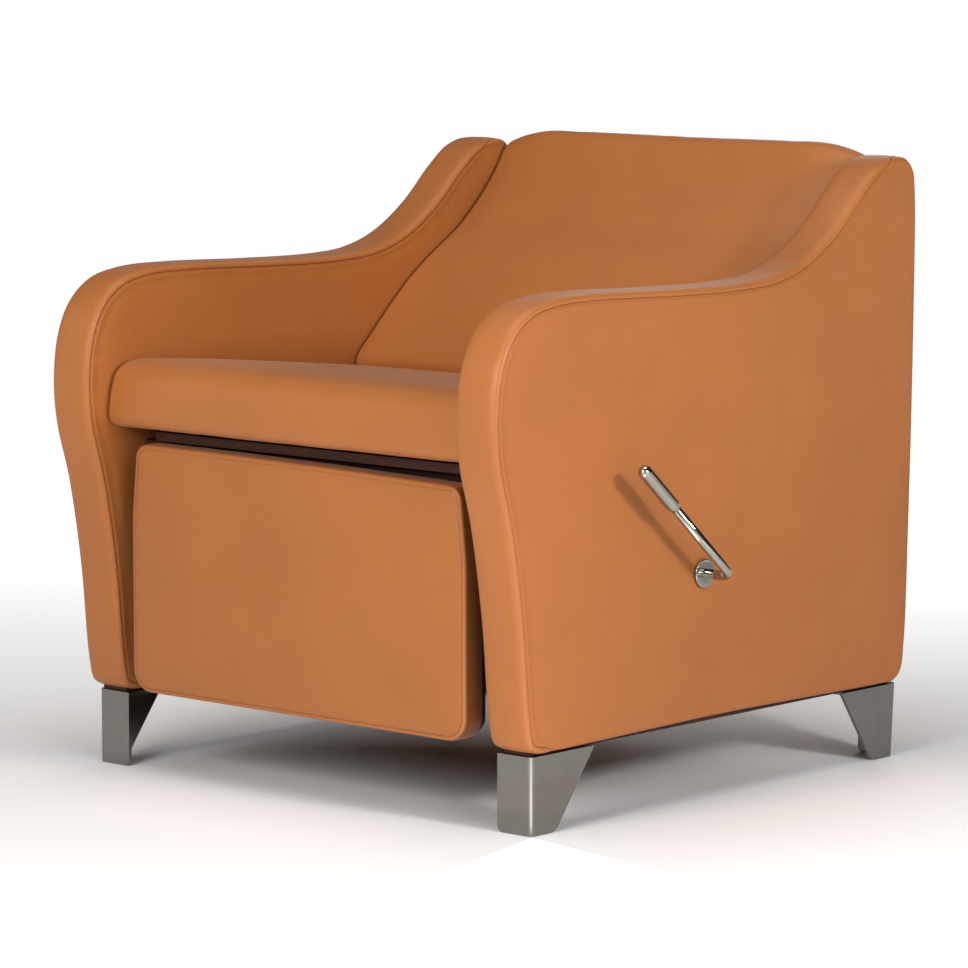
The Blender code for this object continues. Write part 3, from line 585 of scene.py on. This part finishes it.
def steel(name, colour, roughness, brushed, direction):
    """Metal with a polish grain drawn out along one direction, and faint smudges."""
    made, tree, shader = new_material(name)
    where = on_object(tree)
    stretch = node(tree, "ShaderNodeMapping", {"Vector": where})
    stretch.inputs["Scale"].default_value = direction
    lines = noise_value(tree, stretch.outputs[0], 1.0, 3.0, 0.6)
    smudge = noise_value(tree, where, 38.0, 4.0, 0.6)
    base = np.array(colour)
    tone = mix_colour(tree, in_range(tree, smudge, 0.0, 1.0), base * 0.94, np.minimum(base * 1.05, 1.0))
    tone = mix_colour(tree, in_range(tree, lines, 0.0, brushed), tone, base * 0.86)
    tree.links.new(tone, shader.inputs["Base Color"])
    rough = in_range(tree, smudge, roughness * 0.85, roughness * 1.3)
    tree.links.new(rough, shader.inputs["Roughness"])
    tree.links.new(bump(tree, lines, 0.05 * brushed + 0.01, 0.0002), shader.inputs["Normal"])
    shader.inputs["Metallic"].default_value = 1.0
    return made


def painted(name, colour, roughness):
    made, tree, shader = new_material(name)
    where = on_object(tree)
    peel = noise_value(tree, where, 700.0, 2.0)
    dust = noise_value(tree, where, 30.0, 4.0, 0.65)
    base = np.array(colour)
    tone = mix_colour(tree, in_range(tree, dust, 0.0, 1.0, 0.45, 0.75), base, base * 1.6 + 0.01)
    tree.links.new(tone, shader.inputs["Base Color"])
    tree.links.new(in_range(tree, dust, roughness * 0.85, roughness * 1.25), shader.inputs["Roughness"])
    tree.links.new(bump(tree, peel, 0.12, 0.0003), shader.inputs["Normal"])
    return made


def timber(name, light, dark, stretch, rings, roughness):
    """Wood with its grain along the axis that stretch scales least."""
    made, tree, shader = new_material(name)
    where = on_object(tree)
    mapped = node(tree, "ShaderNodeMapping", {"Vector": where})
    mapped.inputs["Scale"].default_value = stretch
    warp = noise_value(tree, mapped.outputs[0], 1.0, 4.0, 0.6)
    wave = maths(tree, "SINE", maths(tree, "MULTIPLY", warp, rings))
    line = in_range(tree, wave, 0.0, 1.0, -1.0, 1.0)
    tone = mix_colour(tree, line, np.array(light), np.array(dark))
    pores = noise_value(tree, mapped.outputs[0], 9.0, 3.0, 0.7)
    tone = mix_colour(tree, in_range(tree, pores, 0.0, 0.5, 0.5, 0.8), tone, np.array(dark) * 0.6)
    tree.links.new(tone, shader.inputs["Base Color"])
    tree.links.new(in_range(tree, pores, roughness - 0.06, roughness + 0.08), shader.inputs["Roughness"])
    tree.links.new(bump(tree, pores, 0.15, 0.0004), shader.inputs["Normal"])
    return made


TAN = (0.368, 0.1175, 0.0238)
VINYL = vinyl("tan_vinyl_skin", TAN)
THREAD = thread("tan_thread", (0.50, 0.19, 0.065))
# This thread's dark colour is painted shade, standing in for the shaded stitch holes on the legrest.
HOLE_SHADE_THREAD = thread("thread_darkened_as_hole_shade", (0.16, 0.050, 0.014))
STEEL = steel("satin_polished_steel", (0.235, 0.225, 0.205), 0.11, 0.25, (120.0, 120.0, 40.0))
BRIGHT_STEEL = steel("bright_lever_steel", (0.42, 0.405, 0.365), 0.11, 0.15, (300.0, 60.0, 60.0))
BLACK_PAINT = painted("black_mechanism_paint", (0.018, 0.018, 0.019), 0.42)
ZINC = steel("zinc_plated_fasteners", (0.60, 0.60, 0.57), 0.30, 0.4, (400.0, 400.0, 400.0))
PLY = timber("birch_plywood_board", (0.68, 0.52, 0.33), (0.50, 0.34, 0.18), (3.0, 30.0, 30.0), 18.0, 0.62)
BEECH = timber("beech_rail", (0.60, 0.42, 0.25), (0.46, 0.28, 0.15), (4.0, 60.0, 60.0), 14.0, 0.55)
BROWN, DEEP_BROWN = (0.050, 0.017, 0.009), (0.032, 0.011, 0.006)
DARK_BOARD = timber("dark_brown_board", BROWN, DEEP_BROWN, (5.0, 90.0, 90.0), 12.0, 0.55)
DARK_BOARD.node_tree.nodes["Principled BSDF"].inputs["Specular IOR Level"].default_value = 0.2
NYLON = painted("black_nylon_bush", (0.014, 0.014, 0.015), 0.50)
# The wooden nodes that can be seen past the covers, given the dark board's colour as painted shade, since
# they show only in shade.
SHADE_DARKENED_WOOD = (
    "arm_frame_left",
    "arm_frame_right",
    "legrest_board",
    "front_cross_rail",
    "seat_rail_left",
    "seat_rail_right",
)
SLOT_LOOK = {
    "tan_vinyl": VINYL,
    "polished_steel": STEEL,
    "black_steel": BLACK_PAINT,
    "zinc_plate": ZINC,
    "birch_plywood": PLY,
    "beech": BEECH,
    "brown_board": DARK_BOARD,
    "black_nylon": NYLON,
}


def dress(obj, material, slot, body, *nodes):
    """Gives a piece its material, sets it on its body and lets it stand for its CAD nodes; its slot argument
    is not used.
    """
    obj.data.materials.clear()
    obj.data.materials.append(material)
    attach(obj, body)
    if nodes:
        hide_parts(*nodes)
    return obj


# Cloth


def inflate(obj, cap, half_width, weights, pressure=4.0, frames=20):
    """Lets air pressure swell the piece, scaled so that the point that moves furthest moves by the cap."""
    rest = np.array([v.co for v in obj.data.vertices])
    cloth = obj.modifiers.new("air", "CLOTH")
    cloth.settings.quality = 5
    cloth.settings.mass = 0.3
    cloth.settings.tension_stiffness = 15
    cloth.settings.compression_stiffness = 15
    cloth.settings.bending_stiffness = 1.0
    cloth.settings.use_pressure = True
    cloth.settings.uniform_pressure_force = pressure
    cloth.settings.effector_weights.gravity = 0.0
    cloth.point_cache.frame_start, cloth.point_cache.frame_end = 1, frames
    scene = bpy.context.scene
    for number in range(1, frames + 1):
        scene.frame_set(number)
    swollen = obj.evaluated_get(bpy.context.evaluated_depsgraph_get())
    after = np.array([v.co for v in swollen.data.vertices])
    obj.modifiers.remove(cloth)
    scene.frame_set(1)
    move = after - rest
    size = np.linalg.norm(move, axis=1)
    move *= min(1.0, cap / size.max()) * weights[:, None]
    placed = rest + move
    centre = -ORIGIN[0]
    placed[:, 0] = np.clip(placed[:, 0], centre - half_width, centre + half_width)
    obj.data.vertices.foreach_set("co", placed.ravel())
    obj.data.update()


# Arms


def seam_relief(offset):
    """Height of the seam across its width: a thin welt on the strip's side and a groove beside it."""
    welt = 0.00045 * np.exp(-(((offset + 0.0013) / 0.0008) ** 2))
    groove = -0.0011 * np.exp(-((offset / 0.0005) ** 2))
    return welt + groove


def drawn_in(distance):
    """How far an arm's side face lies under its flat plane, at a distance from its rounded edge."""
    return FACE_PULL * np.exp(-((distance / PULL_WIDTH) ** 2))


def seam_place(loop):
    """(how hidden the outline is, 0 to 1, and the seam's length round the section) at each point of it."""
    y, z = loop[:, 0], loop[:, 1]
    on_top = np.clip((y - 0.670) / 0.055, 0.0, 1.0) * (z > 0.5)
    at_rear = (y > 0.7240).astype(float)
    below = np.clip((y - 0.020) / 0.030, 0.0, 1.0) * (z < 0.13)
    hidden = eased(np.maximum.reduce([on_top, at_rear, below]))
    return hidden, SEAM_AT_FACE + (SEAM_HIDDEN - SEAM_AT_FACE) * hidden


def arm_section(length, seam_at):
    """(distance from the arm's middle, inset from its outline) at a length round its section."""
    turn = np.clip((length - STRIP_FLAT) / ARM_EDGE, 0.0, math.pi / 2)
    flat = np.minimum(length, STRIP_FLAT)
    past = np.maximum(length - FACE_START, 0.0)
    crown = 0.0008 * (flat / STRIP_FLAT) ** 2
    across = flat + ARM_EDGE * np.sin(turn)
    inset = crown + ARM_EDGE * (1 - np.cos(turn)) + past
    offset = length - seam_at
    lift = seam_relief(offset) - 0.0005 * np.exp(-((offset / 0.004) ** 2))
    return across + np.sin(turn) * lift, inset - np.cos(turn) * lift


def make_arm(side, sign):
    """One arm's cover: a boxing strip with rounded edges, a seam and stitches by each, and two side faces."""
    rim = 0.0050
    loop = resample(smooth_loop(ARM_PROFILE), 0.0042)
    hidden, seam_at = seam_place(loop)
    first_row, last_row = seam_at + SEAM_ROWS[0] / 1000, seam_at + SEAM_ROWS[-1] / 1000
    lengths = [t * first_row for t in STRIP_ROWS]
    lengths += [seam_at + offset / 1000 for offset in SEAM_ROWS]
    lengths += [last_row * (1 - t) + (FACE_START + rim) * t for t in (0.25, 0.5, 0.75, 1.0)]
    half = [arm_section(length, seam_at) for length in lengths]
    depths = [-a for a, _ in reversed(half)] + [a for a, _ in half[1:]]
    insets = [i for _, i in reversed(half)] + [i for _, i in half[1:]]
    shell = Shell(loop, depths, insets, 0.0095)

    points = shell.points
    rows = shell.grid(points)
    turn_in = 0.0045
    for row, length in enumerate(reversed(lengths)):
        begun = np.clip((length - (FACE_START - turn_in)) / turn_in, 0.0, 1.0)
        recess = drawn_in(np.maximum(length - FACE_START, 0.0)) * eased(begun)
        rows[row, :, 0] += recess
        rows[shell.rows - 1 - row, :, 0] -= recess
    inner = slice(shell.rows * shell.n, None)
    points[inner, 0] = np.sign(shell.end[inner]) * (ARM_HALF - drawn_in(shell.gap[inner] + rim))
    wave = waviness(points, 7.0, 3.0 if sign > 0 else 11.0) * np.clip(shell.gap / 0.03, 0.0, 1.0)
    points[:, 0] -= np.sign(points[:, 0]) * np.where(shell.end != 0, 0.0004 * (1 + wave), 0.0)

    world = np.column_stack([sign * ARM_MIDDLE + points[:, 0], points[:, 1], points[:, 2]])
    cover = to_object(f"arm_upholstery_{side}", world, shell.faces)
    order = list(range(len(lengths) - 1, 0, -1)) + list(range(len(lengths)))
    offsets = np.array([lengths[i] - seam_at for i in order])
    # Painted shade darkens the seam's groove, and a painted highlight lightens the welt beside it.
    groove = np.exp(-((offsets / 0.0005) ** 2)) * 0.45
    welt = np.exp(-(((offsets + 0.0013) / 0.0007) ** 2)) * 0.30
    paint_shade_and_highlight(cover, groove, welt)
    dress(cover, VINYL, "tan_vinyl", "base", f"arm_cover_{side}")

    turn = np.clip((seam_at + STITCHED_ROW / 1000 - STRIP_FLAT) / ARM_EDGE, 0.0, math.pi / 2)[:, None]
    flat = np.column_stack([np.zeros(shell.n), shell.normal])
    first = int(np.argmax(hidden < 0.5))
    row = order.index(len(STRIP_ROWS) + SEAM_ROWS.index(STITCHED_ROW))
    for which, at in (("a", row), ("b", shell.rows - 1 - row)):
        line = shell.grid(world)[at]
        sideways = np.column_stack([np.sign(line[:, 0] - sign * ARM_MIDDLE), np.zeros((shell.n, 2))])
        up = flat * np.cos(turn) + sideways * np.sin(turn)
        line, up = np.roll(line, -first, axis=0), np.roll(up, -first, axis=0)
        stitches = stitch_row(f"arm_stitching_{side}_{which}", line, up, 0.0038, 0.0027, 0.00032)
        dress(stitches, THREAD, "tan_vinyl", "base")


# Cushions


def cushion_shell(section, half, edge, step):
    """A closed cushion: one section carried across the chair, rounded in at both ends."""
    loop = resample(smooth_loop(section), step)
    turns = np.radians([0, 15, 30, 45, 60, 75, 90])
    outer = [-half + edge * (1 - math.cos(a)) for a in turns]
    insets = [edge * (1 - math.sin(a)) for a in turns]
    middle = list(np.linspace(-half + edge, half - edge, 78)[1:-1])
    depths = outer + middle + [-d for d in reversed(outer)]
    rows = insets + [0.0] * len(middle) + list(reversed(insets))
    return Shell(loop, depths, rows, 0.012)


def underside(y):
    """The height of the seat's underside."""
    return UNDERSIDE["z"] - UNDERSIDE["fall"] * (y - UNDERSIDE["y"])


def lifted(height):
    """How much of the air's swelling a point takes, from its height over the board that it rests on."""
    return np.clip(height / 0.040, 0.0, 1.0)


def make_seat():
    """The seat, with a slight crown and bowed front edge before the air swells it."""
    shell = cushion_shell(SEAT_SECTION, SEAT_HALF, SEAT_EDGE, 0.0055)
    points = shell.points
    across = points[:, 0] / SEAT_HALF
    y, z = points[:, 1], points[:, 2]
    along = np.clip((y + 0.04) / 0.49, 0.0, 1.0)
    top = np.clip((z - 0.470 + 0.097 * np.maximum(y, 0)) / 0.045, 0.0, 1.0)
    crown = (1 - np.abs(across) ** 2.6) * np.sin(math.pi * np.clip(along, 0.12, 0.95)) ** 0.7
    points[:, 2] += top * 0.0010 * crown
    front = np.clip((0.0 - y) / 0.03, 0.0, 1.0)
    points[:, 1] -= front * 0.0012 * (1 - across**2)
    points[:, 2] += 0.0006 * waviness(points, 16.0, 5.0) * (1 - top)
    seat = to_object("seat_upholstery", points, shell.faces)
    inflate(seat, CROWN, CLEAR_HALF, lifted(points[:, 2] - underside(points[:, 1]) - 0.012))
    dress(seat, VINYL, "tan_vinyl", "base", "seat_cushion")


def make_back():
    """The back, with its crest dropped at the sides and its front crowned before the air swells it."""
    shell = cushion_shell(BACK_SECTION, BACK_HALF, BACK_EDGE, 0.0060)
    points = shell.points
    x, z = np.abs(points[:, 0]), points[:, 2]
    drop = 0.018 * np.clip((x - 0.2) / 0.108, 0.0, 1.1) ** 2.6
    points[:, 2] -= drop * np.clip((z - 0.60) / 0.19, 0.0, 1.0)
    front = np.clip((0.70 - points[:, 1]) / 0.05, 0.0, 1.0)
    across = 1 - (x / BACK_HALF) ** 2.4
    height = np.clip((z - 0.49) / 0.29, 0.0, 1.0)
    swell = 0.005 * across * np.sin(math.pi * height) ** 0.8
    points[:, 1] -= swell * 0.72 * front
    points[:, 2] += swell * 0.69 * front
    back = to_object("back_upholstery", points, shell.faces)
    foot, head = np.array(BACK_REAR)
    along = head - foot
    ahead = np.array([-along[1], along[0]]) / np.linalg.norm(along)
    inflate(back, CROWN, CLEAR_HALF, lifted((points[:, 1:] - foot) @ ahead - 0.010))
    dress(back, VINYL, "tan_vinyl", "back", "back_cushion")


def make_outer_back():
    """The padded rear skin of the back, closed round its edges, and its two cheeks."""
    half, low, high = OUTER_BACK["half"], OUTER_BACK["low"], OUTER_BACK["high"]
    rear = OUTER_BACK["rear"]
    corners = [(-half, low), (-half, high), (half, high), (half, low)]
    loop = resample(rounded_polygon(corners, [0.006, 0.010, 0.010, 0.006]), 0.006)
    depths = [rear - 0.0070, rear - 0.0066, rear - 0.003, rear - 0.0012, rear - 0.0004, rear, rear, rear]
    insets = [0.004, 0.0004, 0.0, 0.0006, 0.0018, 0.0032, 0.0044, 0.0060]
    shell = Shell(loop, depths, insets, 0.014)
    shell.points[:, 0] += shell.swell(0.0030, 0.05)
    cover = to_object("outer_back_upholstery", shell.upright(), shell.faces)
    dress(cover, VINYL, "tan_vinyl", "back", "back_outer_cover")

    cheek_at = 0.3035
    corners = [(0.5740, 0.5330), (0.7540, 0.7290), (0.7540, 0.4300), (0.6100, 0.4800)]
    loop = resample(rounded_polygon(corners, [0.004] * 4, 6), 0.006)
    wall = Shell(loop, [-0.006, -0.0055, 0.0055, 0.006], [0.0006, 0.0, 0.0, 0.0006], 0.02)
    for side, sign in SIDES.items():
        points = wall.points + np.array([sign * cheek_at, 0.0, 0.0])
        dress(to_object(f"back_cheek_{side}", points, wall.faces), VINYL, "tan_vinyl", "back")


def make_lower_back():
    """The fixed padded panel that closes the chair's rear under the back."""
    half, low, high = LOWER_BACK["half"], LOWER_BACK["low"], LOWER_BACK["high"]
    corners = [(-half, low), (-half, high), (half, high), (half, low)]
    loop = resample(rounded_polygon(corners, [0.007] * 4), 0.006)
    depths = [0.6545, 0.6552, 0.6600, 0.6665, 0.6705, 0.6718, 0.6720]
    insets = [0.0020, 0.0006, 0.0, 0.0, 0.0012, 0.0032, 0.0052]
    shell = Shell(loop, depths, insets, 0.016)
    shell.points[:, 0] += shell.swell(0.0025, 0.04)
    panel = to_object("lower_back_upholstery", shell.upright(), shell.faces)
    dress(panel, VINYL, "tan_vinyl", "base", "lower_back_panel")


def legrest_section():
    """(depth, inset) from the joint with the board, round the lip and over the seam to the front panel."""
    join, lip = LEGREST_JOIN, LEGREST_LIP
    section = [(join, 0.0060), (join - 0.0004, 0.0012), (join - 0.0020, 0.0)]
    section += [(-0.0010, -0.0004), (-0.0100, -0.0003), (-0.0160, 0.0)]
    for angle in np.radians([0, 15, 30, 45, 60, 72, 82]):
        section.append((-0.0178 - lip * math.sin(angle), lip * (1 - math.cos(angle))))
    section += [(-0.0222, 0.0047), (-0.0219, 0.0051), (-0.0217, LEGREST_SEAM), (-0.0219, 0.0059)]
    section += [(-0.0223, 0.0064), (-0.0226, 0.0072), (-0.0229, 0.0084), (-0.0232, 0.0102), (-0.0235, 0.0125)]
    return section


def make_legrest():
    """The legrest's pad: bands round its sides, a lip, a stitched seam and a flat front panel."""
    loop = resample(rounded_polygon(LEGREST_CORNERS, LEGREST_RADII, 12), 0.0040)
    depths, insets = zip(*legrest_section())
    shell = Shell(loop, depths, insets, 0.010)
    points = shell.points
    points[:, 0] -= shell.swell(0.0030, 0.05)
    high = np.clip((points[:, 2] - 0.25) / 0.17, 0.0, 1.0)
    points[:, 2] += high * (0.0012 - 0.0165 * points[:, 1]) - high * 0.0020 * (points[:, 1] / 0.28) ** 2
    world = shell.upright()
    pad = to_object("legrest_upholstery", world, shell.faces)

    inset, depth = np.repeat(insets, shell.n), np.repeat(depths, shell.n)
    # Painted shade along the seam's stitch line.
    line = np.exp(-(((inset - LEGREST_SEAM) / 0.0005) ** 2)) * (depth < -0.02) * 0.18
    # Painted highlight along the lip's edge.
    edge = np.exp(-(((inset - 0.0016) / 0.0012) ** 2)) * (depth < -0.018) * 0.55
    # Painted shade on the bands down the two sides, which lie in deep shade between the arms; the painted
    # highlight is taken off them.
    across = np.abs(world[: len(line), 0])
    painted_side_shade = 0.62 * np.clip((depth + 0.0220) / 0.0036, 0.0, 1.0) * np.clip((across - 0.2690) / 0.0050, 0.0, 1.0)
    paint_shade_and_highlight(pad, np.maximum(line, painted_side_shade), edge * (1.0 - painted_side_shade))
    dress(pad, VINYL, "tan_vinyl", "legrest", "legrest_pad")

    path = shell.grid(world)[insets.index(LEGREST_SEAM)]
    up = np.tile([0.0, -1.0, 0.0], (shell.n, 1))
    below_top = path[:, 2] < 0.405
    first = int(np.argmax(~below_top))
    path, keep = np.roll(path, -first, axis=0), np.roll(below_top, -first)
    rows = stitch_row("legrest_stitching", path[keep], up[keep], 0.0036, 0.0022, 0.00042)
    dress(rows, HOLE_SHADE_THREAD, "tan_vinyl", "legrest")


def make_deck():
    """The board under the seat, whose front edge shows as a dark strip; its front corners are cut."""
    half, cut_half, front, cut_rear, rear = 0.3000, 0.2620, -0.0020, 0.0360, 0.4400
    outline = [(-cut_half, front), (-half, cut_rear), (-half, rear), (half, rear), (half, cut_rear)]
    outline.append((cut_half, front))
    points = [(x, y, underside(y) - drop) for drop in (0.0003, 0.0120) for x, y in outline]
    deck = to_object("seat_deck_board", np.array(points), closed_tube(2, len(outline)), smooth=False)
    round_edges(deck, 0.0006)
    dress(deck, DARK_BOARD, "brown_board", "base", "seat_deck")


# Lever and feet


def make_lever():
    """The bent bar, its thicker grip with a domed end, and the disc on the arm that the bar comes through."""
    y, z = 0.3140, 0.2860
    plane, bend, rise = 0.4250, 0.0150, math.radians(41.0)
    corner = np.array([plane, y, z])
    ahead = np.array([0.0, -math.cos(rise), math.sin(rise)])
    back = np.array([-1.0, 0.0, 0.0])
    middle = corner + bend * (back + ahead)
    path = [np.array([0.3600, y, z])]
    for t in np.linspace(0.0, math.pi / 2, 20):
        path.append(middle - bend * (math.cos(t) * ahead + math.sin(t) * back))
    path.append(corner + ahead * 0.150)
    dress(swept("lever_bar", path, 0.0060), BRIGHT_STEEL, "polished_steel", "lever", "lever_rod")

    radius, length = 0.0088, 0.0820
    steps = [(-0.0030, 0.0060), (-0.0012, 0.0064), (0.0012, 0.0075), (0.0030, 0.0083), (0.0050, 0.0087)]
    steps += [(0.0070, radius), (length - radius, radius)]
    for angle in np.radians(np.linspace(6, 89, 14)):
        steps.append((length - radius * (1 - math.sin(angle)), radius * math.cos(angle)))
    grip = turned("lever_handle", steps, corner + ahead * 0.147, ahead)
    dress(grip, BRIGHT_STEEL, "polished_steel", "lever", "lever_grip")

    face, disc, flat, rounding, hole = 0.3803, 0.0180, 0.0028, 0.0012, 0.0064
    steps = [(face, disc - 0.0006), (face + 0.0006, disc), (face + flat, disc)]
    for angle in np.radians([20, 45, 70, 90]):
        steps.append((face + flat + rounding * math.sin(angle), disc - rounding * (1 - math.cos(angle))))
    steps += [(face + flat + rounding, 0.0110), (face + flat + rounding, hole)]
    plate = turned("lever_rosette", steps, (0, y, z), (1, 0, 0))
    dress(plate, BRIGHT_STEEL, "polished_steel", "base", "lever_escutcheon")


# The feet: bent plates of this height, with rounded lower corners, under the arms' outer sides.
FOOT_HEIGHT = 0.0965
FOOT_CORNER = 0.008
FOOT_OUTSIDE = 0.3730
FOOT_REAR = 0.7250


def foot_section(height, steps=14):
    """The bent plate's section at a height, as (X, Y) from the bend's outer corner, inwards and backwards."""
    plate, radius = 0.005, 0.007
    width = 0.0545
    depth = 0.045 + 0.072 * height / FOOT_HEIGHT
    if height < FOOT_CORNER:
        cut = FOOT_CORNER - math.sqrt(FOOT_CORNER**2 - (FOOT_CORNER - height) ** 2)
        width -= cut
        depth -= cut
    quarter = np.linspace(0.0, math.pi / 2, steps)
    outside = [(radius * (1 - math.sin(a)), radius * (1 - math.cos(a))) for a in quarter]
    inner = radius - plate
    inside = [(radius - inner * math.sin(a), radius - inner * math.cos(a)) for a in quarter[::-1]]
    return [(width, 0.0)] + outside + [(0.0, depth), (plate, depth)] + inside + [(width, plate)]


def make_foot(end, side, sign):
    """A foot with the flat tab on its top. The rear feet face backwards and lean a little."""

    def place(x, y, height):
        if end == "front":
            return (sign * (FOOT_OUTSIDE - x), y, height)
        lean = 0.0065 * (1 - height / FOOT_HEIGHT)
        return (sign * (FOOT_OUTSIDE - x), FOOT_REAR - lean - y, height)

    heights = [FOOT_CORNER * t for t in (0.0, 0.05, 0.15, 0.3, 0.5, 0.75, 1.0)] + [0.050, FOOT_HEIGHT]
    points = [place(x, y, height) for height in heights for x, y in foot_section(height)]
    faces = closed_tube(len(heights), len(points) // len(heights))
    tab = [(0.002, 0.002), (0.0535, 0.002), (0.0535, 0.050), (0.022, 0.105), (0.002, 0.105)]
    faces += closed_tube(2, len(tab), len(points))
    points += [place(x, y, height) for height in (0.0915, 0.0964) for x, y in tab]
    foot = to_object(f"foot_plate_{end}_{side}", np.array(points), faces)
    round_edges(foot, 0.0006, 3)
    dress(foot, STEEL, "polished_steel", "base", f"foot_{end}_{side}")


def round_edges(obj, width, segments=2, angle=40.0):
    """Small rounded edges that catch the light."""
    rounding = obj.modifiers.new("rounding", "BEVEL")
    rounding.width = width
    rounding.segments = segments
    rounding.limit_method = "ANGLE"
    rounding.angle_limit = math.radians(angle)
    rounding.use_clamp_overlap = True
    rounding.harden_normals = False
    smooth = obj.modifiers.new("normals", "WEIGHTED_NORMAL")
    smooth.keep_sharp = True
    smooth.weight = 80


def dress_cad_nodes():
    """Gives every CAD node that still shows its material and rounded edges."""
    slots = {row["node"]: row["material_slot"] for row in frame["record"]["subparts"]}
    for name, obj in frame["nodes"].items():
        if obj.hide_render:
            continue
        # Wooden nodes that show only in shade get the dark board's colour as painted shade.
        look = DARK_BOARD if name in SHADE_DARKENED_WOOD else SLOT_LOOK[slots[name]]
        if not obj.data.materials:
            obj.data.materials.append(look)
        for place in obj.material_slots:
            place.material = look
        obj.data.polygons.foreach_set("use_smooth", np.ones(len(obj.data.polygons), bool))
        weld = obj.modifiers.new("weld", "WELD")
        weld.merge_threshold = 0.00001
        round_edges(obj, 0.0004, 2, 35.0)


# Room, lights and camera


# Each lamp's name, position, target, size and power.
LIGHTS = [
    ("key", (2.45, -0.34, 1.10), (0.38, -0.10, 0.33), (0.30, 0.30), 29.0),
    ("front", (0.38, -2.50, 1.30), (0.00, -0.30, 0.40), (1.10, 1.10), 40.5),
    ("above", (0.10, -0.50, 3.00), (0.00, -0.10, 0.40), (2.20, 2.20), 37.0),
    ("left", (-2.30, -1.70, 1.30), (0.00, -0.10, 0.40), (1.40, 1.40), 7.5),
    ("side", (3.00, -1.40, 1.50), (0.00, -0.10, 0.40), (1.40, 1.40), 25.0),
    ("rear", (-1.00, 2.60, 1.60), (0.00, 0.20, 0.40), (1.60, 1.60), 12.0),
]
WORLD_LIGHT = 0.04
FLOOR_GLOW = 0.95


def area_light(name, position, target, size, power):
    data = bpy.data.lights.new(name, "AREA")
    data.shape = "RECTANGLE"
    data.size, data.size_y = size
    data.energy = power
    lamp = bpy.data.objects.new(name, data)
    bpy.context.scene.collection.objects.link(lamp)
    lamp.location = position
    direction = Vector(position) - Vector(target)
    lamp.rotation_euler = direction.to_track_quat("Z", "Y").to_euler()


def vector_maths(tree, operation, output, *values):
    made = node(tree, "ShaderNodeVectorMath", dict(enumerate(values)), operation=operation)
    return made.outputs[output]


def light_card(tree, where):
    """The strength of a bright card on the floor by the near front foot, whose bend mirrors it as a line."""
    foot_at, strength, around = (0.346, -0.340, 0.0), 2.7, math.radians(46.5)
    aim = (math.sin(around), -math.cos(around), 0.0)
    wide, narrow = math.cos(math.radians(32)), math.cos(math.radians(9))
    from_foot = vector_maths(tree, "SUBTRACT", 0, where, foot_at)
    reach = vector_maths(tree, "LENGTH", "Value", from_foot)
    ahead = vector_maths(tree, "NORMALIZE", 0, from_foot)
    inside = in_range(tree, vector_maths(tree, "DOT_PRODUCT", "Value", ahead, aim), 0.0, 1.0, wide, narrow)
    nearby = in_range(tree, reach, strength, 0.0, 0.35, 0.95)
    begun = in_range(tree, reach, 0.0, 1.0, 0.0, 0.07)
    return maths(tree, "MULTIPLY", inside, maths(tree, "MULTIPLY", nearby, begun))


def make_room():
    """A pale floor that stays light far away, as if it had lamps of its own, and soft studio lights."""
    mesh = bpy.data.meshes.new("floor")
    reach, drop = 60.0, 0.0002
    corners = [(-reach, -reach, 0), (reach, -reach, 0), (reach, reach, 0), (-reach, reach, 0)]
    mesh.from_pydata(corners, [], [[0, 1, 2, 3]])
    floor = bpy.data.objects.new("floor", mesh)
    bpy.context.scene.collection.objects.link(floor)
    floor.location.z = -drop
    made, tree, shader = new_material("pale_floor")
    shader.inputs["Base Color"].default_value = (0.90, 0.90, 0.895, 1.0)
    shader.inputs["Roughness"].default_value = 0.65
    shader.inputs["Specular IOR Level"].default_value = 0.2
    where = on_object(tree)
    # The floor glows behind the chair as the camera sees it, and all round from 3 m away.
    behind = vector_maths(tree, "DOT_PRODUCT", "Value", where, (-0.667, 0.745, 0.0))
    away = vector_maths(tree, "LENGTH", "Value", where)
    glow = in_range(tree, behind, 0.0, 1.0, 0.1, 2.4)
    glow = maths(tree, "MAXIMUM", glow, in_range(tree, away, 0.0, 1.0, 3.0, 6.0))
    total = maths(tree, "MULTIPLY", maths(tree, "ADD", glow, light_card(tree, where)), FLOOR_GLOW)
    tree.links.new(total, shader.inputs["Emission Strength"])
    shader.inputs["Emission Color"].default_value = (1.0, 1.0, 1.0, 1.0)
    mesh.materials.append(made)

    world = bpy.data.worlds.new("studio")
    world.use_nodes = True
    sky = world.node_tree.nodes["Background"]
    sky.inputs["Color"].default_value = (0.97, 0.985, 1.0, 1.0)
    sky.inputs["Strength"].default_value = WORLD_LIGHT
    bpy.context.scene.world = world
    for row in LIGHTS:
        area_light(*row)


def make_camera():
    data = bpy.data.cameras.new("camera")
    data.lens = 173.17
    data.sensor_width = 36.0
    data.clip_start, data.clip_end = 0.1, 200.0
    camera = bpy.data.objects.new("camera", data)
    bpy.context.scene.collection.objects.link(camera)
    camera.location = (3.9505, -4.4577, 1.1141)
    camera.rotation_euler = (math.pi / 2 - 0.125130, 0.0, 0.729566)
    bpy.context.scene.camera = camera
    bpy.context.scene.view_settings.view_transform = "Standard"
    bpy.context.scene.view_settings.look = "None"


for side_name, side_sign in SIDES.items():
    make_arm(side_name, side_sign)
    for end_name in ("front", "rear"):
        make_foot(end_name, side_name, side_sign)
make_seat()
make_back()
make_outer_back()
make_lower_back()
make_legrest()
make_deck()
make_lever()
dress_cad_nodes()
make_room()
make_camera()

bpy.context.view_layer.update()
